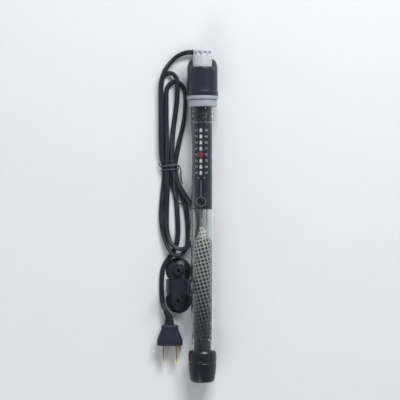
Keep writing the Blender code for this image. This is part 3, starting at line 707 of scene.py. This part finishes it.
def head_cap():
    segments = 160
    pocket, pocket_floor, rim_round = 10, KNOB_LOW.y - 0.4, 0.35
    spindle_hole, cavity, ceiling = 2.25, 13.2, 134
    lip_top, lip = CAP_LOW.y + 3.9, CAP_LIP_RADIUS

    def rim(outward, drop):
        """A ring near the pocket's edge, moved outward and down."""
        return [world((pocket + outward) * sin(a), rim_height(a) - drop,
                      KNOB_Z + (pocket + outward) * cos(a)) for a in circle(segments)]

    def shoulder(turn):
        """A ring on the round between the pocket's edge (90 degrees) and the wall (0)."""
        points = []
        for a in circle(segments):
            wall = Vector((CAP_RADIUS * sin(a), CAP_RADIUS * cos(a)))
            inner = Vector(((pocket + rim_round) * sin(a), KNOB_Z + (pocket + rim_round) * cos(a)))
            gap = (wall - inner).length
            across = min(0.97 * gap, 6.5)
            fall = min(1.5 * across + 1.2, 7.4)
            place = wall.lerp(inner, across * (1 - cos(radians(turn))) / gap)
            points.append(world(place.x, rim_height(a) - fall * (1 - sin(radians(turn))), place.y))
        return points

    rings = [ring_of(radius, height, segments, z=KNOB_Z) for radius, height in
             ((spindle_hole, ceiling), (spindle_hole, pocket_floor), (pocket - 0.3, pocket_floor),
              (pocket, pocket_floor + 0.3))]
    rings += [rim(rim_round * (1 - cos(t)), rim_round * (1 - sin(t))) for t in arc(0, 90, 3)]
    rings += [shoulder(turn) for turn in (88, 80, 70, 60, 50, 40, 30, 20, 10, 0)]
    rings += [ring_of(radius, height, segments) for radius, height in
              ((CAP_RADIUS, 135), (CAP_RADIUS, 127), (CAP_RADIUS, lip_top + 0.8),
               (CAP_RADIUS + 0.1, lip_top + 0.35), (CAP_RADIUS + 0.35, lip_top + 0.08),
               (lip - 0.12, lip_top), (lip, lip_top - 0.15), (lip, CAP_LOW.y + 0.35),
               (lip - 0.12, CAP_LOW.y + 0.1), (lip - 0.35, CAP_LOW.y), (cavity, CAP_LOW.y),
               (cavity, ceiling))]
    piece = as_piece("head_cap_moulding", skin(rings, wrap=True), BLACK_PLASTIC, "head_cap",
                     "head_cap", sharp=50)
    cut(piece, turned(rod(3.6, 133, 147), 64, x=BOOT_X, z=BOOT_Z))
    cut(piece, turned(rod(3.9, 146, 157), 64, x=BOOT_X - 0.3, z=BOOT_Z))


def temperature_knob():
    """A round knob, slimmer towards its top, with ten thumb hollows."""
    hollows, hollow_y, half_width, half_height, depth = 10, 157.1, 2.15, 2.35, 2
    skirt, top_radius, rim, waist = 9.5, 8.6, 1.6, 153
    bottom, top = KNOB_LOW.y, KNOB_HIGH.y

    def hollow(angle, height):
        """How deep a point lies in a hollow, whose foot is steep."""
        pitch = tau / hollows
        across = (angle % pitch - pitch / 2) * top_radius / half_width
        inside = max(0, 1 - across ** 2 - ((height - hollow_y) / half_height) ** 2)
        return depth * inside ** 0.4 * smoothstep(inside, 0, 0.16)

    profile = [(0, 150.3), (2.05, 150.3), (2.05, bottom + 0.2), (2.25, bottom), (skirt - 0.4, bottom),
               (skirt - 0.1, bottom + 0.12), (skirt, bottom + 0.4), (skirt, 149), (skirt - 0.05, 151),
               (skirt - 0.2, waist)]
    profile += [(top_radius + 0.7 * (1 - (height - waist) / (top - rim - waist)), height)
                for height in np.linspace(154.4, top - rim, 56)]
    profile += [(top_radius - rim * (1 - cos(t)), top - rim * (1 - sin(t))) for t in arc(15, 90, 5)]
    profile += [(5.9, top), (5.7, top - 0.08), (5.45, top - 0.5), (5.2, top - 0.6), (0, top - 0.6)]
    rings = [ring_of(lambda a: radius - hollow(a, height) if radius > 0.5 else radius, height, 400,
                     z=KNOB_Z) for radius, height in profile]
    as_piece("knob_moulding", joined(skin(rings, caps=False), knob_arrow(top - 0.62)), KNOB_PLASTIC,
             "temperature_knob", "temperature_knob", body="knob", sharp=40)


def knob_arrow(base):
    """A raised arrow across the knob's dished top."""
    outline = [(-0.5, -4.2), (0.5, -4.2), (0.5, 1.4), (1.6, 1.4), (0, 4.4), (-1.6, 1.4), (-0.5, 1.4)]
    return skin([[world(x * grow, height, KNOB_Z + z * grow) for x, z in outline]
                 for height, grow in ((base, 1), (base + 0.42, 1), (base + 0.5, 0.96))])


def spindle_and_screw():
    turned_piece("knob_spindle_rod", [(0, 150), (1.95, 150, 0.3), (1.95, 90.9, 0.3), (0, 90.9)],
                 STEEL, "steel", "knob_spindle", segments=64, z=KNOB_Z, body="knob")
    low, high = span("lead_screw")
    lead, starts, outer, inner, first, steps = 8, 4, 2.2, 1.65, 36.2, 420
    rings = []
    for height in np.linspace(first, high.y, steps + 1):
        def thread(angle):
            wave = cos(starts * (angle + tau * height / lead))
            return between(inner, outer, smoothstep(wave, -0.6, 0.6))

        rings.append(ring_of(thread, height, 48, z=KNOB_Z))
    journal = turned([(0, low.y), (1.1, low.y), (1.2, low.y + 0.1), (1.2, 36.4), (0, 36.4)], 48, z=KNOB_Z)
    as_piece("lead_screw_threaded", joined(skin(rings), journal), BRASS, "brass", "lead_screw",
             body="knob")


def rings_and_bung():
    low, high = span("collar")
    bore, neck, shoulder, flange = TUBE_RADIUS + 0.25, 12.9, 112.7, radius_of("collar")
    turned_piece("collar_ring", [(bore, high.y, 0.2), (neck, high.y, 0.2), (neck, shoulder + 0.3),
                                 (flange - 0.9, shoulder + 0.3), (flange, shoulder - 0.1, 0.6),
                                 (flange, low.y, 1.3), (bore, low.y, 0.25)],
                 RING_PLASTIC, "grey_ring", "collar", steps=6)
    low, high = span("clamp_ring")
    out, bore = radius_of("clamp_ring"), 13.2
    turned_piece("clamp_ring_moulding", [(bore, high.y, 0.2), (out, high.y, 0.35), (out, low.y, 0.7),
                                         (bore, low.y, 0.2)], RING_PLASTIC, "grey_ring", "clamp_ring")
    low, high = span("rubber_bung")
    head, head_low, body, groove = 12.6, 128.3, TUBE_BORE - 0.3, TUBE_BORE - 1.3
    corners = [(0, high.y), (head, high.y, 0.3), (head, head_low, 0.3), (body, head_low)]
    for top in (120, 110, 101.6, 97.2):
        corners += [(body, top, 0.35), (groove, top - 0.35, 0.2), (groove, top - 1.2, 0.2),
                    (body, top - 1.6, 0.35)]
    corners += [(body, low.y, 1.2), (5.4, low.y, 0.4), (5, low.y + 1.2, 0.3), (0, low.y + 1.2)]
    piece = turned_piece("bung_moulding", corners, BUNG_RUBBER, "black_rubber", "rubber_bung")
    for radius, x, z in ((2.1, 0, KNOB_Z), (0.9, 4, -5.2), (0.9, -4, -5.2)):
        cut(piece, turned(rod(radius, 80, 140), 48, x=x, z=z))


# Tube, card and pointer

def glass_tube():
    """A tube closed by a round end, with a fire-polished open rim."""
    dome_start, end, top = -146, TUBE_LOW.y, TUBE_HIGH.y - 0.5
    wall = TUBE_RADIUS - TUBE_BORE

    def side(radius, tip):
        """Straight down from the rim, then round the dome to its tip on the axis."""
        dome = [(radius * cos(t), dome_start - (dome_start - tip) * sin(t)) for t in arc(0, 84, 14)]
        return [(radius, top), (radius, 60), (radius, -40), *dome, (0, tip)]

    rim = [(TUBE_BORE + wall / 2 - wall / 2 * cos(t), top + 0.5 * sin(t)) for t in arc(30, 150, 4)]
    profile = side(TUBE_BORE, end + wall)[::-1] + rim + side(TUBE_RADIUS, end)
    as_piece("glass_tube_clear", turned(profile, 160), GLASS, "clear_glass", "glass_tube", sharp=60)


def card_shell(y_start, y_end, angles, outer, inner):
    """A bent plate between two heights, over angles in degrees from straight up."""
    return skin([[world(radius * sin(radians(angle)), y, radius * cos(radians(angle)))
                  for radius, y in ((outer(angle), y_start), (outer(angle), y_end), (inner, y_end),
                                    (inner, y_start))] for angle in angles])


def scale_card():
    """The half-round card, with the pointer's groove and slot and the lamp's window."""
    groove_left, groove_right, edge, bore = -27, 12, 0.7, 8.4

    def outer(angle):
        return CARD_RADIUS - GROOVE_DEPTH * min(
            smoothstep(angle, groove_left - edge, groove_left + edge),
            1 - smoothstep(angle, groove_right - edge, groove_right + edge))

    angles = sorted({*np.linspace(-85, 85, 115).tolist(),
                     *np.linspace(groove_left - 2 * edge, groove_left + 2 * edge, 7).tolist(),
                     *np.linspace(groove_right - 2 * edge, groove_right + 2 * edge, 7).tolist()})
    piece = as_piece("scale_card_shell", card_shell(CARD_LOW.y, CARD_HIGH.y, angles, outer, bore),
                     CARD_BLACK, "scale_card", "scale_card")
    slot_left, slot_right, slot_low, slot_high, window = -4.05, -3.15, 37.5, 87.5, 3.9
    cut(piece, prism([(slot_left, slot_low), (slot_right, slot_low), (slot_right, slot_high),
                      (slot_left, slot_high)], 5, 12))
    cut(piece, turned(rod(window, 5, 12), 96, LENS.x, LENS.y, world))
    tab = card_shell(CARD_LOW.y - 1.5, CARD_LOW.y + 0.2, np.linspace(-7.7, 2.7, 9),
                     lambda angle: CARD_RADIUS - 0.5, bore)
    as_piece("scale_card_tab", tab, CARD_BLACK, "scale_card")


def wrapped(points, radius=PRINT_RADIUS):
    """Lay (x, y, height) points on the card's curve, so that they look flat from the front."""
    made = []
    for x, y, height in points:
        out = radius + height
        angle = asin(x / out)
        made.append(world(out * sin(angle), y, out * cos(angle)))
    return made


def printed_strip(left_edge, right_edge, radius=PRINT_RADIUS):
    """A thin raised patch between two edges of (x, y) points."""
    columns, thickness = 8, 0.06
    rings = []
    for left, right in zip(left_edge, right_edge):
        row = [(between(left[0], right[0], k / columns), between(left[1], right[1], k / columns), 0)
               for k in range(columns + 1)]
        rings.append(wrapped(row + [(x, y, -thickness) for x, y, _ in reversed(row)], radius))
    return skin(rings)


def scale_mark(x, y, width, height):
    """A white mark, narrower towards its rounded top."""
    half, low, high = width / 2, y - height / 2, y + height / 2
    top_half = half * 0.82
    corner = top_half * 0.6
    left, right = [(x - half, low)], [(x + half, low)]
    for turn in (0, 20, 40, 60, 75, 88):
        reach = top_half - corner * (1 - cos(radians(turn)))
        level = high - corner + corner * sin(radians(turn))
        left.append((x - reach, level))
        right.append((x + reach, level))
    return printed_strip(left, right, PRINT_RADIUS - GROOVE_DEPTH)


def lettering(text, x, y, height):
    """Raised characters laid on the card, centred on (x, y)."""
    curve = bpy.data.curves.new("numeral", "FONT")
    curve.body = text
    curve.size = height / 0.7 * MM
    curve.align_x, curve.align_y = "CENTER", "CENTER"
    curve.extrude, curve.offset, curve.resolution_u = 0.02 * MM, 0.03 * MM, 4
    numeral = linked("numeral", curve)
    mesh = evaluated(numeral)
    flat = [(v.co.x / MM + x, v.co.y / MM + y, v.co.z / MM) for v in mesh.vertices]
    faces = [tuple(polygon.vertices) for polygon in mesh.polygons]
    bpy.data.objects.remove(numeral, do_unlink=True)
    bpy.data.meshes.remove(mesh)
    return wrapped(flat), faces


def scale_print():
    """Eight marks between Celsius and Fahrenheit numbers, and a lamp ring."""
    pitch, pointer_row = 5.86, 4
    top_y = (POINTER_LOW.y + POINTER_HIGH.y) / 2 + pointer_row * pitch - 0.1
    marks_x, left_x, right_x = -1.5, -5.6, 3.6
    marks, numbers = [], []
    for row, celsius in enumerate(range(32, 16, -2)):
        y = top_y - row * pitch
        marks.append(scale_mark(marks_x, y, 2.6, 3.65))
        numbers.append(lettering(str(celsius), left_x, y, 1.85))
        numbers.append(lettering(str(round(celsius * 1.8 + 32)), right_x, y, 2.05))
    units_y = top_y - 8 * pitch + 0.9
    numbers += [lettering("°C", -3.9, units_y, 1.7), lettering("°F", 1.7, units_y, 1.7)]
    line_top, line_low, half = units_y - 2.4, LENS.y + 4.6, 0.15
    numbers.append(printed_strip([(LENS.x - half, line_low), (LENS.x - half, line_top)],
                                 [(LENS.x + half, line_low), (LENS.x + half, line_top)]))
    numbers.append(lamp_ring(4.58, 4.28))
    as_piece("scale_marks", joined(*marks), INK, "scale_card")
    as_piece("scale_numbers", joined(*numbers), INK_DIM, "scale_card")


def lamp_ring(outer, inner):
    """A printed ring round the lamp's window."""
    section = ((outer, 0), (inner, 0), (inner, -0.06), (outer, -0.06))
    return skin([wrapped([(LENS.x + radius * sin(a), LENS.y + radius * cos(a), height)
                          for radius, height in section]) for a in circle(72)], wrap=True)


def temperature_pointer():
    """The red nut on the screw, its stem through the slot and its flag over the marks."""
    half, centre = (POINTER_HIGH.y - POINTER_LOW.y) / 2, (POINTER_HIGH.y + POINTER_LOW.y) / 2
    flag_in, flag_out, flag_half = 9.2, 9.7, half - 0.4
    left, right, corner, crown_height, rows = -3.6, 0.45, 0.8, 0.12, 12
    rings = []
    for y in np.linspace(-flag_half, flag_half, rows + 1):
        edge = min(flag_half - abs(y), corner)
        inset = corner - sqrt(max(0, corner ** 2 - (corner - edge) ** 2))
        run = np.linspace(left + inset, right - inset, 13)
        ring = []
        for x in run:
            out = flag_out - crown_height * (1 - min(1, min(x - left, right - x) / 0.5))
            ring.append(world(out * x / flag_out, centre + y, out * cos(asin(x / flag_out))))
        ring += [world(x, centre + y, flag_in * cos(asin(x / flag_in))) for x in run[::-1]]
        rings.append(ring)
    stem = prism([(-3.9, 0.8), (-3.3, 0.8), (-3.3, 9), (-3.7, 8.9)], centre - half + 0.2,
                 centre + half - 0.2, along_tube)
    nut = prism([(x, KNOB_Z + z) for x, z in rounded_rectangle(3.2, 2.7, 0.8)], centre - half + 0.2,
                centre + half - 0.2, along_tube)
    piece = as_piece("pointer_nut", nut, RED_PLASTIC, "red_plastic", body="pointer")
    cut(piece, turned(rod(2.35, 40, 80), 48, z=KNOB_Z))
    as_piece("pointer_flag", joined(skin(rings), stem), RED_PLASTIC, "red_plastic", "temperature_pointer",
             body="pointer")


def lamp():
    lens = [(0, 8.75), (2.2, 8.6), (3.3, 8.2), (3.6, 7.95), (3.6, 7.75), (0, 7.75)]
    as_piece("pilot_lens_dome", turned(lens, 64, LENS.x, LENS.y, world), LENS_RED, "red_plastic",
             "pilot_lens")
    low, high = span("neon_lamp")
    centre = middle("neon_lamp")
    profile = [(0, high.y), (0.5, high.y - 0.1), (1.3, high.y - 0.8), (2.1, high.y - 2),
               (2.5, high.y - 3.6), (2.5, low.y + 1.6), (2.3, low.y + 0.6), (1.6, low.y), (0, low.y)]
    as_piece("neon_lamp_bulb", turned(profile, 48, centre.x, centre.z), LAMP_GLASS, "lamp_glass",
             "neon_lamp")


# Element

def lean(y):
    """How far right of the tube's middle the sleeve sits. Its neck leans further."""
    return np.interp(y, [-60, -30, -12], [0.2, 0.3, 0.9])


def spread(values):
    """How far each value's next neighbour is from its last."""
    padded = np.pad(values, 1, mode="edge")
    return padded[2:] - padded[:-2]


def weave(columns, starts, row_pitch, column_pitch, radius_at, low, high, half_width, lift):
    """Two families of flat yarns, woven over and under each other round a sleeve.

    Going once round, a row climbs by as many row pitches as there are starts.
    radius_at(y) is the sleeve's radius, and half_width(y) a yarn's.
    """
    slant = atan2(starts * row_pitch, columns * column_pitch)
    across_step = column_pitch * cos(slant)
    around = columns * across_step + starts * row_pitch * sin(slant)
    turns = {"row": tau * across_step / around, "column": -tau * row_pitch * sin(slant) / around}
    climbs = {"row": column_pitch * sin(slant), "column": row_pitch * cos(slant)}
    section = [(1, 0), (0.86, 0.7), (0.45, 1), (0, 0.88), (-0.45, 1), (-0.86, 0.7), (-1, 0),
               (-0.86, -0.7), (0, -1), (0.86, -0.7)]
    thickness, per_crossing = 0.16, 6
    yarns = []
    for family, other, count, side in (("row", "column", starts, 1), ("column", "row", columns, -1)):
        for index in range(count):
            first = (low - index * climbs[other]) / climbs[family]
            last = (high - index * climbs[other]) / climbs[family]
            steps = max(2, round((last - first) * per_crossing))
            along = first + (last - first) * np.arange(steps + 1) / steps
            angle = along * turns[family] + index * turns[other]
            y = along * climbs[family] + index * climbs[other]
            radius = radius_at(y) + side * lift * np.cos(pi * (along + index))
            run_x, run_y = spread(angle) * radius, spread(y)
            tight = np.minimum(radius_at(y) / radius_at(low), 1) if family == "column" else 1
            wide = half_width(y) * tight / np.hypot(run_x, run_y)
            places = [(angle - run_y * a * wide / radius, y + run_x * a * wide, radius + b * thickness)
                      for a, b in section]
            rings = [[world(lean(y[i]) + out[i] * sin(turn[i]), level[i], out[i] * cos(turn[i]))
                      for turn, level, out in places] for i in range(steps + 1)]
            yarns.append(skin(rings))
    return joined(*yarns)


def mark_crests(piece, radius_at):
    """Note how far each point stands out of the weave: 0 at mid-height, 1 on top. It sets where painted
    shade darkens the yarn.
    """
    places = np.empty(len(piece.data.vertices) * 3, dtype=np.float32)
    piece.data.vertices.foreach_get("co", places)
    x, y, z = (places.reshape(-1, 3).T - np.array(AXIS)[:, None]) / MM
    out = (np.hypot(x - lean(y), z) - radius_at(y)) / 0.33
    crest = piece.data.attributes.new("crest", "FLOAT", "POINT")
    crest.data.foreach_set("value", out.astype(np.float32))


def net_sleeve():
    neck_low, top = -20.6, NET_TOP - 0.5

    def body_radius(y):
        return np.interp(y, [-121, -95, -67, -28, -25, -23, -21.4, -19.5],
                         [8.6, 8.95, 9.15, 9.1, 8.8, 8, 6.4, 4.9])

    def body_width(y):
        return np.interp(y, [-121, -100, -60, -24], [0.5, 0.54, 0.61, 0.74])

    def neck_radius(y):
        return np.interp(y, [-21.8, -19.8, -12, -11], [5.1, 4.35, 4.25, 4.05])

    body = weave(16, 4, 3.6, 3.3, body_radius, -120.2, neck_low + 0.4, body_width, 0.17)
    mark_crests(as_piece("net_woven_body", body, NET_FIBRE, "glass_fibre", "net_sleeve", sharp=70),
                body_radius)
    neck = weave(8, 2, 3.6, 3.1, neck_radius, neck_low - 1.2, top, lambda y: 1.14, 0.15)
    neck = joined(neck, hem_ring(top, 4.05, 0.32), hem_ring(neck_low, 4.75, 0.3))
    mark_crests(as_piece("net_woven_neck", neck, NECK_FIBRE, "glass_fibre", sharp=70), neck_radius)


def hem_ring(y, radius, thick):
    """A bound edge: a twisted cord of yarn round the sleeve."""
    rings = []
    for angle in circle(96):
        ring = []
        for turn in circle(10):
            bulge = thick * (1 + 0.16 * cos(2 * turn + 24 * angle))
            out = radius + bulge * cos(turn)
            ring.append(world(lean(y) + out * sin(angle), y + bulge * sin(turn), out * cos(angle)))
        rings.append(ring)
    return skin(rings, wrap=True)


def heating_winding():
    """The resistance wire, coiled round the ceramic core."""
    low, high = span("heating_winding")
    wire, pitch, radius = 0.38, 1.35, 7.5
    turns = (high.y - low.y - 2 * wire) / pitch
    steps = round(turns * 26)
    rings = []
    for t in np.linspace(0, 1, steps + 1):
        angle = tau * turns * t
        y = between(low.y + wire, high.y - wire, t)
        rings.append([world((radius + wire * cos(turn)) * sin(angle), y + wire * sin(turn),
                            (radius + wire * cos(turn)) * cos(angle)) for turn in circle(7)])
    as_piece("winding_coil", skin(rings), WIRE_DARK, "resistance_wire", "heating_winding", sharp=80)


def end_cap():
    """The cap on the tube's closed end, with a step and rounded edges."""
    out, top, low = radius_of("end_cap"), END_HIGH.y, END_LOW.y
    bore, step = TUBE_RADIUS + 0.3, out - 0.45
    corners = [(0, top), (bore, top, 0.4), (out - 1.25, top, 0.35), (out, top - 2.6, 0.5),
               (out, -140.6, 0.5), (step, -141.3, 0.2), (step, -142, 0.2), (out - 0.1, -142.6, 0.4),
               (13.2, -148.5, 2), (12.7, -153, 1), (11.7, low + 2.2, 3), (10, low + 0.4, 1.4),
               (6.2, low, 3), (0, low)]
    inside = [(0, -156.4), (bore * 0.55, -155), (bore * 0.85, -152), (bore, -146.4)]
    profile = inside + filleted(corners, 10)[1:]
    as_piece("end_cap_moulding", turned(profile, 160), END_PLASTIC, "end_cap", "end_cap", sharp=50)


# Bracket and suction cups

def bracket():
    """A round-ended bar on two suction cups, and a springy open clip with flared lips."""
    low, high = span("bracket")
    x = middle("bracket").x
    half_width, bar_low, bar_high = 6, 8 + FLOOR, 10.4 + FLOOR
    cups = [middle(node).y for node in ("suction_cup_lower", "suction_cup_upper")]
    y = sum(cups) / 2
    outline = [(x + half_width * cos(turn), end + half_width * sin(turn))
               for end, start in ((high.y - half_width, 0), (low.y + half_width, 180))
               for turn in arc(start, start + 180, 24)]
    piece = as_piece("bracket_moulding", prism(outline, bar_low, bar_high), BLACK_PLASTIC, "bracket",
                     "bracket")
    bore, out, mouth, clip_half = 10.9, 12.2, 50, 7
    clip_z = bar_low + 0.2 + out
    run = np.linspace(mouth, 360 - mouth, 61)
    inner = [bore + 0.5 * (1 - smoothstep(min(a - mouth, 360 - mouth - a), 0, 14)) for a in run]
    ring = [(x + radius * sin(radians(a)), clip_z + radius * cos(radians(a)))
            for radius, a in [(out, a) for a in run] + list(zip(inner, run))[::-1]]
    cut(piece, prism(ring, y - clip_half, y + clip_half, along_tube), "UNION")
    for side in (-1, 1):
        rib = [(x - 0.8, bar_high - 0.3), (x + 0.8, bar_high - 0.3), (x + 0.8, bar_high + 1.1),
               (x - 0.8, bar_high + 1.1)]
        cut(piece, prism(rib, y + side * clip_half, y + side * (clip_half + 4.6), along_tube), "UNION")
    for cup_y in cups:
        cut(piece, turned(rod(3.5, 6, 15), 48, x, cup_y, above_floor))
    cut(piece, turned(rod(bore, y - 9, y + 9), 120, x, clip_z))
    round_edges(piece, 0.45, 3)


def suction_cups():
    """A thin dish with a necked button that snaps into the bracket."""
    for node in ("suction_cup_upper", "suction_cup_lower"):
        out, centre = radius_of(node), middle(node)
        corners = [(0, 3.3), (5, 2.9, 1), (9, 1.4, 1), (11.4, 0, 0.2), (out, 0, 0.15),
                   (out, 0.5, 0.2), (10, 2.6, 1.2), (7, 4.3, 1.2), (5, 5.4, 0.8), (4.6, 7.7, 0.4),
                   (3.2, 7.7, 0.3), (3.2, 10.7, 0.3), (4.8, 10.9, 0.4), (4.5, 12.4, 0.7),
                   (1.6, 12.4, 0.4), (1.4, 10, 0.4), (0, 9.8)]
        as_piece(node.replace("suction_cup", "suction_dish"),
                 turned(filleted(corners, 5), 96, centre.x, centre.y, above_floor), CUP_RUBBER,
                 "black_rubber", node, sharp=50)


# Inner pieces that keep their CAD shape

def finish_inner_pieces():
    kept = {
        STEEL: ("moving_contact", "fixed_contact", "snap_magnet", "crimp_long", "crimp_short"),
        NICKEL: ("element_lead_long", "element_lead_short"),
        BRASS: ("bimetal_strip", "contact_arm", "screw_bearing"),
        CERAMIC: ("bimetal_mount", "contact_post", "lamp_resistor", "suppressor_capacitor"),
        CORE_DARK: ("ceramic_core", "core_terminal"),
        BOARD: ("thermostat_base",),
        BLACK_RUBBER: ("tube_gasket", "spindle_o_ring", "base_cushion"),
        CORD_SHEATH: ("supply_wire_live", "supply_wire_neutral"),
    }
    for material, nodes in kept.items():
        for node in nodes:
            materials = frame["nodes"][node].data.materials
            materials.clear()
            materials.append(material)


# Floor and lights

def floor():
    look = Look("studio_floor", (0.8, 0.81, 0.82), 0.75)
    look.tint((60,), (0.77, 0.78, 0.8), 0.3, 0.7, 0.5)
    mesh = mesh_of("floor", ([(-4, -4, 0), (4, -4, 0), (4, 4, 0), (-4, 4, 0)], [(0, 1, 2, 3)]))
    mesh.materials.append(look.material)
    made = linked("floor", mesh)
    made.location.z = -0.0003


def lamp_at(name, place, size_x, size_y, power, target=(0, 0, 0)):
    data = bpy.data.lights.new(name, "AREA")
    data.shape, data.size, data.size_y, data.energy = "RECTANGLE", size_x, size_y, power
    made = linked(name, data)
    made.location = place
    made.rotation_euler = (Vector(target) - Vector(place)).to_track_quat("-Z", "Y").to_euler()


def lights():
    """A high key beyond the knob, a low fill from the foot and a small strip beside the head.

    The sky is bright at the horizon and dim overhead, and the lamps stand off the plane through the
    tube's middle, so the glass stays clear.
    """
    sky = bpy.data.worlds.new("studio")
    sky.use_nodes = True
    nodes = sky.node_tree.nodes
    place = nodes.new("ShaderNodeTexCoord").outputs["Generated"]
    apart = feed(nodes.new("ShaderNodeSeparateXYZ"), Vector=place)
    overhead = feed(nodes.new("ShaderNodeMapRange"), Value=apart.outputs["Z"], From_Min=0.35,
                    From_Max=0.9, To_Min=0.54, To_Max=0.14)
    feed(nodes["Background"], Color=(0.88, 0.93, 1, 1), Strength=overhead.outputs["Result"])
    scene = bpy.context.scene
    scene.world = sky
    scene.cycles.caustics_refractive = False
    scene.view_settings.view_transform = "Standard"
    lamp_at("key", (0.42, 1.2, 1.05), 0.95, 0.45, 25)
    lamp_at("fill", (-0.5, -1.2, 1), 0.8, 0.8, 7)
    lamp_at("head_strip", (0.95, 0.4, 1.25), 0.16, 0.08, 0.6, target=(0, 0.13, 0))


camera()
cord_boot()
plug()
twist_tie()
cord()
head_cap()
temperature_knob()
spindle_and_screw()
rings_and_bung()
glass_tube()
scale_card()
scale_print()
temperature_pointer()
lamp()
net_sleeve()
heating_winding()
end_cap()
bracket()
suction_cups()
finish_inner_pieces()
floor()
lights()
